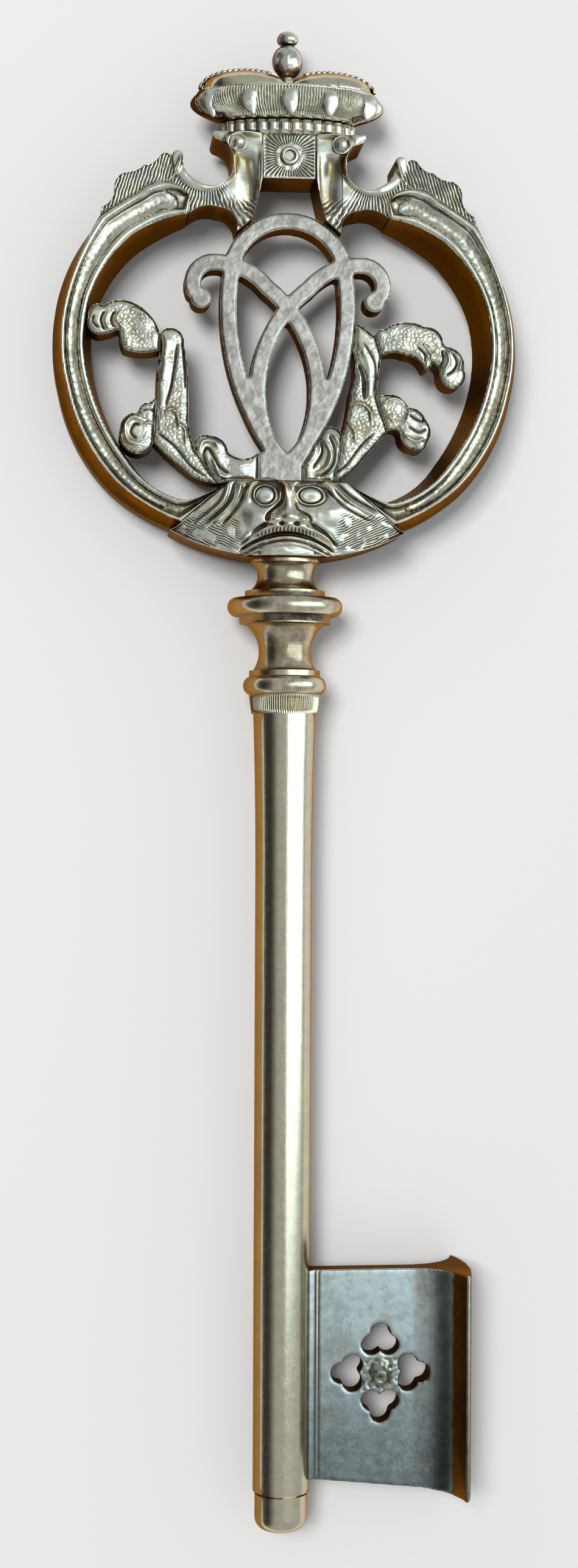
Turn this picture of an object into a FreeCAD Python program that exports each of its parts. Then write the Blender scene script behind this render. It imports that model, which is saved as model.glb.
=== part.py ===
import FreeCAD, Part
import os
import Sketcher

# A chamberlain key, lying on its back: +Y runs from the tip to the crown, +X towards the
# bit, +Z out of the front face. The shank's axis is x = 0, the key's middle is y = 0, and
# the key lies on z = 0 with the middle ring of its collar.

# Driving dimensions, in millimetres.
SIZES = {
    # The pin end that enters the lock.
    "tip_radius": 2.9,
    "tip_straight": 2.6,
    "tip_rounding": 1.4,
    "tip_groove_width": 0.3,
    "tip_groove_depth": 0.35,
    "tip_stem_radius": 1.2,
    "tip_stem_length": 4.0,
    # The shank and the long tenon on which collar and bow are threaded.
    "shank_radius": 3.12,
    "shank_top_radius": 3.43,
    "shank_flare_length": 18.0,
    "shank_length": 85.2,
    "tenon_radius": 1.9,
    "tenon_in_mask": 3.6,
    "fit_gap": 0.05,
    # The hatched ferrule.
    "ferrule_length": 2.13,
    "ferrule_foot_radius": 3.63,
    "ferrule_top_radius": 3.9,
    # The turned collar, from its foot up.
    "lower_ring_radius": 4.57,
    "lower_ring_height": 1.93,
    "lower_fillet_radius": 3.9,
    "lower_fillet_height": 0.67,
    "lower_waist_radius": 2.93,
    "lower_spool_height": 5.13,
    "under_fillet_radius": 5.0,
    "under_fillet_height": 0.9,
    "ring_radius": 6.33,
    "ring_height": 1.9,
    "over_fillet_radius": 4.4,
    "over_fillet_height": 0.8,
    "upper_waist_radius": 3.03,
    "upper_spool_height": 3.05,
    "lip_radius": 3.87,
    "lip_height": 0.35,
    # The bit.
    "bit_height": 23.0,
    "bit_from_tip": 5.6,
    "bit_thickness": 2.5,
    "bit_reach": 20.8,
    "bit_rim_depth": 12.0,
    "bit_rim_width": 1.2,
    "bit_flare_width": 5.4,
    "bit_root_width": 0.5,
    "bit_root_depth": 3.3,
    "bit_tongue_depth": 1.1,
    "bit_tongue_thickness": 1.6,
    "bit_foot_drop": 1.7,
    "boss_from_axis": 10.8,
    "boss_from_foot": 11.6,
    "boss_radius": 0.83,
    "boss_eye_radius": 0.5,
    "boss_height": 0.3,
    "boss_eye_height": 0.45,
    "lobe_radius": 1.08,
    "outer_lobe_offset": 4.35,
    "side_lobe_offset": 3.05,
    "side_lobe_spread": 0.95,
    # The bow, whose castings are drawn in shares of its half width.
    "bow_reach": 25.5,
    "bow_depth": 7.4,
    "cove_depth": 0.7,
    "shoulder_depth": 6.9,
    "solder_gap": 0.06,
    "spray_depth": 4.4,
    "spray_rise": 0.3,
    "strap_width": 1.8,
    "strap_depth": 3.4,
    "strap_rise": 0.6,
    "curl_radius": 1.15,
    # The mask.
    "face_height": 1.2,
    "eye_radius": 0.72,
    "eye_sink": 0.2,
    "socket_radius": 1.4,
    "socket_width": 0.5,
    "socket_height": 0.3,
    "brow_height": 0.7,
    "nose_half_length": 2.4,
    "nose_half_width": 0.8,
    "nose_height": 1.2,
    "nostril_radius": 0.55,
    "nostril_sink": 0.15,
    "mouth_depth": 0.6,
    "lip_half_width": 3.1,
    "lip_half_length": 0.75,
    "lip_rise": 0.5,
    # The posts and what they carry.
    "volute_radius": 1.0,
    "volute_height": 0.9,
    "plaque_half_width": 2.93,
    "plaque_height": 4.9,
    "plaque_depth": 6.2,
    "plaque_boss_radius": 0.97,
    "plaque_boss_eye_radius": 0.6,
    "plaque_boss_height": 0.5,
    # The crown, from its base up.
    "base_half_width": 7.5,
    "base_half_depth": 3.7,
    "base_height": 1.55,
    "gadroon_depth": 0.3,
    "brim_foot_half_width": 7.4,
    "brim_half_width": 10.8,
    "brim_top_half_width": 9.3,
    "brim_half_depth": 4.95,
    "brim_height": 3.8,
    "tail_half_width": 0.85,
    "tail_half_height": 1.55,
    "tail_half_depth": 0.7,
    "tail_pitch": 4.35,
    "lobe_half_width": 4.95,
    "lobe_height": 2.0,
    "lobe_half_depth": 4.1,
    "lobe_offset": 4.45,
    "saddle_radius": 1.7,
    "saddle_height": 0.6,
    "arch_width": 1.3,
    "arch_thickness": 0.4,
    # The finial.
    "orb_radius": 1.75,
    "orb_foot_radius": 1.15,
    "orb_foot_height": 0.95,
    "orb_neck_radius": 0.75,
    "orb_peg_radius": 0.8,
    "orb_peg_length": 1.8,
    "ball_radius": 1.23,
    "ball_peg_radius": 0.4,
    "ball_peg_length": 1.0,
}

doc = FreeCAD.newDocument("ChamberlainKey")
sheet = doc.addObject("Spreadsheet::Sheet", "Sizes")
for row, (name, value) in enumerate(SIZES.items(), start=1):
    sheet.set(f"A{row}", name)
    sheet.set(f"B{row}", str(value))
    sheet.setAlias(f"B{row}", name)
doc.recompute()

parts = []

# How a sketch numbers the points of its lines, arcs and circles.
START, END, CENTRE = range(1, 4)


def total(*names):
    """The sum of some driving dimensions, as an expression."""
    return "(" + " + ".join(f"Sizes.{name}" for name in names) + ")"


def measure(expression):
    """The value that an expression has now."""
    return float(sheet.evalExpression(expression))


# Levels along the key, each the foot of the piece that it names.
BOW_FOOT_SHARE = 0.881
BOW_HEAD_SHARE = 0.9255
BALL_HEIGHT_SHARE = 1.3
TIP_LENGTH = total("tip_straight", "tip_rounding", "tip_groove_width")
COLLAR_LENGTH = total(
    "lower_ring_height", "lower_fillet_height", "lower_spool_height", "under_fillet_height",
    "ring_height", "over_fillet_height", "upper_spool_height", "lip_height",
)
BOW_LENGTH = f"({BOW_FOOT_SHARE + BOW_HEAD_SHARE} * Sizes.bow_reach)"
ORB_LENGTH = "(Sizes.orb_foot_height + 2 * Sizes.orb_radius)"
CROWN_LENGTH = f"({total('base_height', 'brim_height', 'saddle_height')} + {ORB_LENGTH})"
KEY_LENGTH = (
    f"({TIP_LENGTH} + Sizes.shank_length + Sizes.ferrule_length + {COLLAR_LENGTH}"
    f" + {BOW_LENGTH} + {CROWN_LENGTH} + {BALL_HEIGHT_SHARE} * Sizes.ball_radius)"
)
TIP_LEVEL = f"(-{KEY_LENGTH} / 2)"
SHANK_LEVEL = f"({TIP_LEVEL} + {TIP_LENGTH})"
FERRULE_LEVEL = f"({SHANK_LEVEL} + Sizes.shank_length)"
COLLAR_LEVEL = f"({FERRULE_LEVEL} + Sizes.ferrule_length)"
MASK_LEVEL = f"({COLLAR_LEVEL} + {COLLAR_LENGTH})"
BOW_LEVEL = f"({MASK_LEVEL} + {BOW_FOOT_SHARE} * Sizes.bow_reach)"
CROWN_LEVEL = f"({BOW_LEVEL} + {BOW_HEAD_SHARE} * Sizes.bow_reach)"
BRIM_LEVEL = f"({CROWN_LEVEL} + Sizes.base_height)"
CAP_LEVEL = f"({BRIM_LEVEL} + Sizes.brim_height)"
ORB_LEVEL = f"({CAP_LEVEL} + Sizes.saddle_height)"
BALL_LEVEL = f"({ORB_LEVEL} + {ORB_LENGTH})"
AXIS_HEIGHT = "Sizes.ring_radius"


def place(piece, level, height=AXIS_HEIGHT, across="0"):
    """Puts a piece at a level along the key and a height over the table."""
    for axis, expression in (("x", across), ("y", level), ("z", height)):
        piece.setExpression(f".Placement.Base.{axis}", expression)
    doc.recompute()


def new_body(label, level, height=AXIS_HEIGHT, across="0", upright=False):
    """Starts a piece made by features. An upright one has its own Z along the key."""
    body = doc.addObject("PartDesign::Body", label)
    body.Label = label
    if upright:
        body.Placement.Rotation = FreeCAD.Rotation(FreeCAD.Vector(1, 0, 0), -90)
    place(body, level, height, across)
    parts.append(body)
    return body


def new_sketch(body, name, plane="XY_Plane", lift="0"):
    """A sketch on one of the body's own origin planes, lifted off it by an expression."""
    sketch = body.newObject("Sketcher::SketchObject", f"{body.Name}_{name}")
    for feature in body.Origin.OriginFeatures:
        if feature.Role == plane:
            sketch.AttachmentSupport = (feature, "")
    sketch.MapMode = "FlatFace"
    sketch.setExpression("AttachmentOffset.Base.z", lift)
    return sketch


def hold(sketch, geometry, end, across, along):
    """Ties one point of a sketch to a place that two expressions give."""
    for kind, expression in (("DistanceX", across), ("DistanceY", along)):
        value = measure(expression)
        number = sketch.addConstraint(Sketcher.Constraint(kind, -1, START, geometry, end, value))
        sketch.setExpression(f"Constraints[{number}]", expression)


def vector(across, along):
    """The point in a sketch's plane that two expressions give."""
    return FreeCAD.Vector(measure(across), measure(along), 0)


def start_end(sketch, geometry, start):
    """Which ends of a line or arc are its first and its last point."""
    gaps = [sketch.getPoint(geometry, end).distanceToPoint(start) for end in (START, END)]
    return (START, END) if gaps[0] < gaps[1] else (END, START)


def draw(sketch, corners, closed=True):
    """Draws an outline through its corners, in order.

    A corner is (x, y), where a straight side leaves it, or (x, y, bend x, bend y), where an
    arc leaves it that passes through the bend. All are expressions.
    """
    sides = []
    count = len(corners) if closed else len(corners) - 1
    for index in range(count):
        corner = corners[index]
        following = corners[(index + 1) % len(corners)]
        start = vector(*corner[:2])
        finish = vector(*following[:2])
        if len(corner) == 2:
            side = sketch.addGeometry(Part.LineSegment(start, finish), False)
        else:
            side = sketch.addGeometry(Part.Arc(start, vector(*corner[2:]), finish), False)
            bend = sketch.addGeometry(Part.Point(vector(*corner[2:])), True)
            hold(sketch, bend, START, *corner[2:])
            sketch.addConstraint(Sketcher.Constraint("PointOnObject", bend, START, side))
        first, last = start_end(sketch, side, start)
        hold(sketch, side, first, *corner[:2])
        sides.append((side, first, last))
    for before, after in zip(sides, sides[1:] + sides[:1] if closed else sides[1:]):
        sketch.addConstraint(Sketcher.Constraint("Coincident", before[0], before[2], *after[:2]))
    if not closed:
        hold(sketch, sides[-1][0], sides[-1][2], *corners[-1][:2])
    doc.recompute()


def scaled(shares, length="Sizes.bow_reach", side=1):
    """An outline in shares of one length, mirrored where side is -1."""
    corners = []
    for row in shares:
        signs = (side, 1) * (len(row) // 2)
        corners.append(tuple(f"{sign * share} * {length}" for sign, share in zip(signs, row)))
    return corners


def add_pad(body, sketch, name, length, both_ways=False):
    """Raises a sketch into a plate."""
    pad = body.newObject("PartDesign::Pad", f"{body.Name}_{name}")
    pad.Profile = sketch
    pad.SideType = "Symmetric" if both_ways else "One side"
    pad.setExpression("Length", length)
    doc.recompute()
    return pad


def cut_pocket(body, sketch, name, length, both_ways=False, reverse=False):
    """Sinks a sketch into the body, and makes sure that it took something away."""
    before = body.Shape.Volume
    pocket = body.newObject("PartDesign::Pocket", f"{body.Name}_{name}")
    pocket.Profile = sketch
    pocket.SideType = "Symmetric" if both_ways else "One side"
    pocket.Reversed = reverse
    pocket.setExpression("Length", length)
    doc.recompute()
    if body.Shape.Volume >= before:
        raise ValueError(f"{name} takes nothing from {body.Label}")
    return pocket


def add_circle(sketch, across, along, radius):
    """Draws a circle whose place and radius are expressions."""
    circle = Part.Circle(vector(across, along), FreeCAD.Vector(0, 0, 1), measure(radius))
    number = sketch.addGeometry(circle, False)
    hold(sketch, number, CENTRE, across, along)
    constraint = sketch.addConstraint(Sketcher.Constraint("Radius", number, measure(radius)))
    sketch.setExpression(f"Constraints[{constraint}]", radius)
    doc.recompute()


def turn(body, sketch, name="Turned"):
    """Turns a half profile about the sketch's upright axis."""
    revolution = body.newObject("PartDesign::Revolution", f"{body.Name}_{name}")
    revolution.Profile = sketch
    revolution.ReferenceAxis = (sketch, ["V_Axis"])
    revolution.Angle = 360
    doc.recompute()
    return revolution


def mirror_piece(label, original):
    """The mirror image of a piece, for the left side of the key."""
    image = doc.addObject("Part::Mirroring", label)
    image.Source = original
    image.Normal = FreeCAD.Vector(1, 0, 0)
    image.Label = label
    parts.append(image)
    doc.recompute()


# The shank: a rod with a slight flare under the ferrule. Its tenon passes through ferrule
# and collar into the mask, its foot is drilled for the tip and slotted for the bit.
BORE = "(Sizes.tenon_radius + Sizes.fit_gap)"
TENON_TOP = f"(Sizes.shank_length + Sizes.ferrule_length + {COLLAR_LENGTH} + Sizes.tenon_in_mask)"
STEM_BORE = "(Sizes.tip_stem_radius + Sizes.fit_gap)"
STEM_DEPTH = "(Sizes.tip_stem_length + Sizes.fit_gap)"
FLARE_BEND_SHARES = (0.35, 0.6)
FLARE_FOOT = "(Sizes.shank_length - Sizes.shank_flare_length)"
shank = new_body("shank", SHANK_LEVEL)
rod = new_sketch(shank, "Rod")
draw(rod, [
    ("0", STEM_DEPTH),
    (STEM_BORE, STEM_DEPTH),
    (STEM_BORE, "0"),
    ("Sizes.shank_radius", "0"),
    ("Sizes.shank_radius", FLARE_FOOT,
     f"Sizes.shank_radius + {FLARE_BEND_SHARES[0]} * (Sizes.shank_top_radius - Sizes.shank_radius)",
     f"{FLARE_FOOT} + {FLARE_BEND_SHARES[1]} * Sizes.shank_flare_length"),
    ("Sizes.shank_top_radius", "Sizes.shank_length"),
    ("Sizes.tenon_radius", "Sizes.shank_length"),
    ("Sizes.tenon_radius", TENON_TOP),
    ("0", TENON_TOP),
])
turn(shank, rod)
BIT_FOOT = f"(Sizes.bit_from_tip - {TIP_LENGTH})"
SLOT_FLOOR = "(Sizes.shank_radius - Sizes.bit_tongue_depth - Sizes.fit_gap)"
slot = new_sketch(shank, "Slot")
draw(slot, [
    (SLOT_FLOOR, f"{BIT_FOOT} - Sizes.fit_gap"),
    ("2 * Sizes.shank_radius", f"{BIT_FOOT} - Sizes.fit_gap"),
    ("2 * Sizes.shank_radius", f"{BIT_FOOT} + Sizes.bit_height + Sizes.fit_gap"),
    (SLOT_FLOOR, f"{BIT_FOOT} + Sizes.bit_height + Sizes.fit_gap"),
])
cut_pocket(shank, slot, "BitSlot", "Sizes.bit_tongue_thickness + 2 * Sizes.fit_gap", both_ways=True)

# The tip: a short pin with a scribed groove over it and a rounded end, turned with the
# stem that holds it in the shank.
TIP_FLAT_SHARE = 0.5
TIP_BEND_SHARES = (0.87, 0.3)
GROOVE_FLOOR = "(Sizes.tip_radius - Sizes.tip_groove_depth)"
STRAIGHT_TOP = "(Sizes.tip_rounding + Sizes.tip_straight)"
tip_knob = new_body("tip_knob", TIP_LEVEL)
pin = new_sketch(tip_knob, "Pin")
draw(pin, [
    ("0", "0"),
    (f"{TIP_FLAT_SHARE} * Sizes.tip_radius", "0",
     f"{TIP_BEND_SHARES[0]} * Sizes.tip_radius", f"{TIP_BEND_SHARES[1]} * Sizes.tip_rounding"),
    ("Sizes.tip_radius", "Sizes.tip_rounding"),
    ("Sizes.tip_radius", STRAIGHT_TOP),
    (GROOVE_FLOOR, STRAIGHT_TOP),
    (GROOVE_FLOOR, TIP_LENGTH),
    ("Sizes.tip_stem_radius", TIP_LENGTH),
    ("Sizes.tip_stem_radius", f"{TIP_LENGTH} + Sizes.tip_stem_length"),
    ("0", f"{TIP_LENGTH} + Sizes.tip_stem_length"),
])
turn(tip_knob, pin)

# The ferrule: a plain tapered ring, hatched by the chaser.
ferrule = new_body("ferrule", FERRULE_LEVEL)
band = new_sketch(ferrule, "Band")
draw(band, [
    (BORE, "0"),
    ("Sizes.ferrule_foot_radius", "0"),
    ("Sizes.ferrule_top_radius", "Sizes.ferrule_length"),
    (BORE, "Sizes.ferrule_length"),
])
turn(ferrule, band)

# The collar: a turned baluster of two spools and two rings, bored for the tenon.
RING_BULGE_SHARE = 0.3
SPOOL_END_SHARE = 0.9
LIP_END_SHARE = 0.95
LOWER_WAIST_SHARE = 0.55


def rounded_ring(foot, radius, height):
    """The two corners of a ring with a half-round edge."""
    inside = f"{radius} - {RING_BULGE_SHARE} * {height}"
    return [
        (inside, foot, radius, f"{foot} + {height} / 2"),
        (inside, f"{foot} + {height}"),
    ]


RING_TOP = "Sizes.lower_ring_height"
FILLET_TOP = f"({RING_TOP} + Sizes.lower_fillet_height)"
LOWER_SPOOL_TOP = f"({FILLET_TOP} + Sizes.lower_spool_height)"
UNDER_FILLET_TOP = f"({LOWER_SPOOL_TOP} + Sizes.under_fillet_height)"
MIDDLE_RING_TOP = f"({UNDER_FILLET_TOP} + Sizes.ring_height)"
OVER_FILLET_TOP = f"({MIDDLE_RING_TOP} + Sizes.over_fillet_height)"
UPPER_SPOOL_TOP = f"({OVER_FILLET_TOP} + Sizes.upper_spool_height)"
collar = new_body("collar", COLLAR_LEVEL)
baluster = new_sketch(collar, "Baluster")
draw(baluster, [
    (BORE, "0"),
    *rounded_ring("0", "Sizes.lower_ring_radius", "Sizes.lower_ring_height"),
    ("Sizes.lower_fillet_radius", RING_TOP),
    ("Sizes.lower_fillet_radius", FILLET_TOP),
    (f"{SPOOL_END_SHARE} * Sizes.lower_fillet_radius", FILLET_TOP,
     "Sizes.lower_waist_radius", f"{FILLET_TOP} + {LOWER_WAIST_SHARE} * Sizes.lower_spool_height"),
    (f"{SPOOL_END_SHARE} * Sizes.under_fillet_radius", LOWER_SPOOL_TOP),
    ("Sizes.under_fillet_radius", LOWER_SPOOL_TOP),
    ("Sizes.under_fillet_radius", UNDER_FILLET_TOP),
    *rounded_ring(UNDER_FILLET_TOP, "Sizes.ring_radius", "Sizes.ring_height"),
    ("Sizes.over_fillet_radius", MIDDLE_RING_TOP),
    ("Sizes.over_fillet_radius", OVER_FILLET_TOP),
    (f"{SPOOL_END_SHARE} * Sizes.over_fillet_radius", OVER_FILLET_TOP,
     "Sizes.upper_waist_radius", f"{OVER_FILLET_TOP} + Sizes.upper_spool_height / 2"),
    (f"{LIP_END_SHARE} * Sizes.lip_radius", UPPER_SPOOL_TOP),
    ("Sizes.lip_radius", UPPER_SPOOL_TOP),
    ("Sizes.lip_radius", COLLAR_LENGTH),
    (BORE, COLLAR_LENGTH),
])
turn(collar, baluster)

# The bit: a flat plate that flares to a deep rim, whose outer face is an arc about the
# shank. Its root sits against the shank with a tongue in the slot.
BIT_FLARE_SHARES = (0.72, 0.33)
THIN = "(Sizes.bit_thickness / 2)"
RIM = "(Sizes.bit_rim_depth / 2)"
ROOT = "(Sizes.bit_root_depth / 2)"
TONGUE = "(Sizes.bit_tongue_thickness / 2)"
RIM_START = "(Sizes.bit_reach - Sizes.bit_rim_width)"
FLARE_START = f"({RIM_START} - Sizes.bit_flare_width)"
ROOT_END = "(Sizes.shank_radius + Sizes.bit_root_width)"
TONGUE_END = "(Sizes.shank_radius - Sizes.bit_tongue_depth)"


def chord(radius, half_height):
    """How far from its centre a circle stands at a height to one side."""
    return f"sqrt({radius} * {radius} - {half_height} * {half_height})"


FLARE_BEND_ACROSS = f"{FLARE_START} + {BIT_FLARE_SHARES[0]} * Sizes.bit_flare_width"
FLARE_BEND_OUT = f"{THIN} + {BIT_FLARE_SHARES[1]} * ({RIM} - {THIN})"
bit_plate = new_body("bit_plate", f"{SHANK_LEVEL} + {BIT_FOOT} - Sizes.bit_foot_drop")
section = new_sketch(bit_plate, "Section", plane="XZ_Plane")
draw(section, [
    (TONGUE_END, f"-{TONGUE}"),
    (chord("Sizes.shank_radius", TONGUE), f"-{TONGUE}",
     chord("Sizes.shank_radius", f"({TONGUE} + {ROOT}) / 2"), f"-({TONGUE} + {ROOT}) / 2"),
    (chord("Sizes.shank_radius", ROOT), f"-{ROOT}"),
    (ROOT_END, f"-{THIN}"),
    (FLARE_START, f"-{THIN}", FLARE_BEND_ACROSS, f"-({FLARE_BEND_OUT})"),
    (RIM_START, f"-{RIM}"),
    (chord("Sizes.bit_reach", RIM), f"-{RIM}", "Sizes.bit_reach", "0"),
    (chord("Sizes.bit_reach", RIM), RIM),
    (RIM_START, RIM, FLARE_BEND_ACROSS, FLARE_BEND_OUT),
    (FLARE_START, THIN),
    (ROOT_END, THIN),
    (chord("Sizes.shank_radius", ROOT), ROOT,
     chord("Sizes.shank_radius", f"({TONGUE} + {ROOT}) / 2"), f"({TONGUE} + {ROOT}) / 2"),
    (chord("Sizes.shank_radius", TONGUE), TONGUE),
    (TONGUE_END, TONGUE),
])
plate = add_pad(bit_plate, section, "Plate", total("bit_height", "bit_foot_drop"))
plate.Reversed = True
doc.recompute()
wedge = new_sketch(bit_plate, "Wedge")
draw(wedge, [
    ("0", "-Sizes.bit_foot_drop"),
    (TONGUE_END, "-Sizes.bit_foot_drop"),
    ("Sizes.bit_reach", "0"),
    (ROOT_END, "Sizes.bit_foot_drop"),
    ("0", "Sizes.bit_foot_drop"),
])
cut_pocket(bit_plate, wedge, "SlopingFoot", "2 * Sizes.bit_rim_depth", both_ways=True)


def lobe(name, across, along):
    """One round hole, placed from the middle of the boss."""
    sketch = new_sketch(bit_plate, name)
    sketch.setExpression("AttachmentOffset.Base.x", "Sizes.boss_from_axis")
    sketch.setExpression("AttachmentOffset.Base.y", total("boss_from_foot", "bit_foot_drop"))
    add_circle(sketch, across, along, "Sizes.lobe_radius")
    return cut_pocket(bit_plate, sketch, f"{name}Hole", "2 * Sizes.bit_thickness", both_ways=True)


trefoil = [
    lobe("OuterLobe", "0", "Sizes.outer_lobe_offset"),
    lobe("LeftLobe", "-Sizes.side_lobe_spread", "Sizes.side_lobe_offset"),
    lobe("RightLobe", "Sizes.side_lobe_spread", "Sizes.side_lobe_offset"),
]
quatrefoil = bit_plate.newObject("PartDesign::PolarPattern", "Trefoils")
quatrefoil.Originals = trefoil
quatrefoil.Axis = (trefoil[0].Profile[0], ["N_Axis"])
quatrefoil.Angle = 360
quatrefoil.Occurrences = 4
bit_plate.Tip = quatrefoil
doc.recompute()
for name in ("boss", "boss_eye"):
    disc = new_sketch(bit_plate, name)
    middle = total("boss_from_foot", "bit_foot_drop")
    add_circle(disc, "Sizes.boss_from_axis", middle, f"Sizes.{name}_radius")
    thickness = f"Sizes.bit_thickness + 2 * Sizes.{name}_height"
    add_pad(bit_plate, disc, f"{name}_disc", thickness, both_ways=True)

# The bow castings, drawn in shares of the bow's half width from the middle of the bow. A
# row is a corner, and the bend that the side leaving it passes through. The arm is a
# C-scroll: it swells under the crest, runs round the side and ends on the mask.
SEAM_SHARE = 0.427
SEAT_SHARE = -0.557
MASK_CORNER_SHARES = (0.251, SEAT_SHARE)
MASK_TIP_SHARES = (0.478, -0.757)
ARM_TOP_SHARES = [
    (SEAM_SHARE, 0.647, 0.518, 0.704),
    (0.639, 0.659, 0.718, 0.612),
]
ARM_BACK_SHARES = [
    (0.804, 0.553, 0.914, 0.396),
    (0.992, 0.149, 1.0, -0.016),
    (0.976, -0.176, 0.898, -0.400),
    (0.753, -0.596, 0.631, -0.686),
    MASK_TIP_SHARES,
]
ARM_FRONT_SHARES = [
    (0.804, 0.553, 0.886, 0.376),
    (0.953, 0.141, 0.961, -0.016),
    (0.937, -0.165, 0.863, -0.380),
    (0.725, -0.569, 0.616, -0.651),
    (0.451, -0.733),
]
ARM_INSIDE_SHARES = [
    (*MASK_CORNER_SHARES, 0.345, -0.612),
    (0.439, -0.645, 0.580, -0.588),
    (0.690, -0.478, 0.800, -0.294),
    (0.863, -0.102, 0.875, 0.039),
    (0.855, 0.196, 0.792, 0.337),
    (0.675, 0.475, 0.565, 0.537),
    (SEAM_SHARE, 0.573),
]
ARM_INSIDE_BACK_SHARES = [
    (*MASK_CORNER_SHARES, 0.342, -0.594),
    (0.432, -0.614, 0.562, -0.556),
    (0.662, -0.450, 0.765, -0.274),
    (0.821, -0.096, 0.833, 0.036),
    (0.813, 0.184, 0.752, 0.316),
    (0.643, 0.446, 0.545, 0.512),
    (SEAM_SHARE, 0.573),
]
COVE_SHARES = [
    (0.471, 0.635, 0.545, 0.670),
    (0.640, 0.630, 0.714, 0.580),
    (0.780, 0.525, 0.868, 0.366),
    (0.934, 0.137, 0.941, -0.016),
    (0.918, -0.158, 0.845, -0.370),
    (0.710, -0.552, 0.610, -0.632),
    (0.505, -0.676),
    (0.505, -0.650, 0.610, -0.598),
    (0.714, -0.478, 0.827, -0.286),
    (0.886, -0.098, 0.898, 0.039),
    (0.879, 0.204, 0.813, 0.350),
    (0.690, 0.500, 0.580, 0.565),
    (0.471, 0.600),
]
FRONT = "(Sizes.bow_depth / 2)"



def midway(first, second):
    """The outline half way between two outlines of the same form."""
    return [tuple((a + b) / 2 for a, b in zip(*points)) for points in zip(first, second)]


# The arm's outside is upright from its back to its middle, and drafted from there to its
# front. Its inside is drafted all the way, and widest at the back.
right_arm = new_body("right_arm", BOW_LEVEL)
arm_sections = []
for outside, inside, lift in (
    (ARM_BACK_SHARES, ARM_INSIDE_BACK_SHARES, f"-{FRONT}"),
    (ARM_BACK_SHARES, midway(ARM_INSIDE_BACK_SHARES, ARM_INSIDE_SHARES), "0"),
    (ARM_FRONT_SHARES, ARM_INSIDE_SHARES, FRONT),
):
    arm_section = new_sketch(right_arm, "Section", lift=lift)
    draw(arm_section, scaled(ARM_TOP_SHARES + outside + inside))
    arm_sections.append(arm_section)
arm_loft = right_arm.newObject("PartDesign::AdditiveLoft", "ArmCasting")
arm_loft.Profile = arm_sections[0]
arm_loft.Sections = arm_sections[1:]
arm_loft.Ruled = True
doc.recompute()
cove = new_sketch(right_arm, "Cove", lift=FRONT)
draw(cove, scaled(COVE_SHARES))
cut_pocket(right_arm, cove, "CovePocket", "Sizes.cove_depth")
mirror_piece("left_arm", right_arm)

# The shoulder: one casting of the hatched crest over the arm, the scoop, and the post that
# stands on the strapwork and carries the crown. It meets the arm at a soldered seam.
CREST_SHARES = [
    (0.796, 0.592, 0.765, 0.612),
    (0.743, 0.671, 0.733, 0.714),
    (0.694, 0.741, 0.651, 0.749),
    (0.620, 0.773, 0.580, 0.784),
    (0.553, 0.812, 0.525, 0.827),
    (0.500, 0.808, 0.478, 0.839),
    (0.453, 0.820, 0.439, 0.749),
    (0.400, 0.714, 0.341, 0.694),
    (0.278, 0.714, 0.247, 0.753),
    (0.243, 0.800, 0.259, 0.855),
    (0.310, 0.890, 0.325, 0.906),
    (0.325, BOW_HEAD_SHARE),
]
POST_FOOT_SHARES = [
    (0.157, 0.561),
    (0.2255, 0.502, 0.235, 0.569),
    (0.298, 0.604, 0.365, 0.608),
    (SEAM_SHARE, 0.573),
]
POST_BEND_SHARES = (0.133, 0.647)
HEAD = f"{BOW_HEAD_SHARE} * Sizes.bow_reach"
PLAQUE_FOOT = f"({HEAD} - Sizes.plaque_height)"


def raised(corners, gap):
    """The same outline, a little further along the key."""
    lifted = []
    for corner in corners:
        places = [f"{value} + {gap}" if index % 2 else value for index, value in enumerate(corner)]
        lifted.append(tuple(places))
    return lifted


right_shoulder = new_body("right_shoulder", BOW_LEVEL)
shoulder_outline = new_sketch(right_shoulder, "Outline")
over_arm = scaled(ARM_TOP_SHARES + [ARM_BACK_SHARES[0][:2]])
draw(shoulder_outline, [
    *raised(over_arm, "Sizes.solder_gap"),
    *scaled(CREST_SHARES),
    ("Sizes.plaque_half_width", HEAD),
    ("Sizes.plaque_half_width", PLAQUE_FOOT, *scaled([POST_BEND_SHARES])[0]),
    *scaled(POST_FOOT_SHARES),
])
add_pad(right_shoulder, shoulder_outline, "Casting", "Sizes.shoulder_depth", both_ways=True)
mirror_piece("left_shoulder", right_shoulder)

# The volutes: domed eyes on the fronts of the posts.
VOLUTE_SHARES = (0.2196, 0.878)
DOME_BEND_SHARES = (0.78, 0.68)
DOME_FLAT_SHARE = 0.2


def make_stud(label, level, height, across, corners):
    """A small turned boss that stands on a front face."""
    stud = new_body(label, level, height, across)
    profile = new_sketch(stud, "Profile", plane="XZ_Plane")
    draw(profile, corners)
    turn(stud, profile)


for label, side in (("left_volute", -1), ("right_volute", 1)):
    make_stud(
        label,
        f"{BOW_LEVEL} + {VOLUTE_SHARES[1]} * Sizes.bow_reach",
        f"{AXIS_HEIGHT} + Sizes.shoulder_depth / 2",
        f"{side * VOLUTE_SHARES[0]} * Sizes.bow_reach",
        [
            ("0", "0"),
            ("Sizes.volute_radius", "0",
             f"{DOME_BEND_SHARES[0]} * Sizes.volute_radius", f"{DOME_BEND_SHARES[1]} * Sizes.volute_height"),
            (f"{DOME_FLAT_SHARE} * Sizes.volute_radius", "Sizes.volute_height"),
            ("0", "Sizes.volute_height"),
        ],
    )

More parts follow.
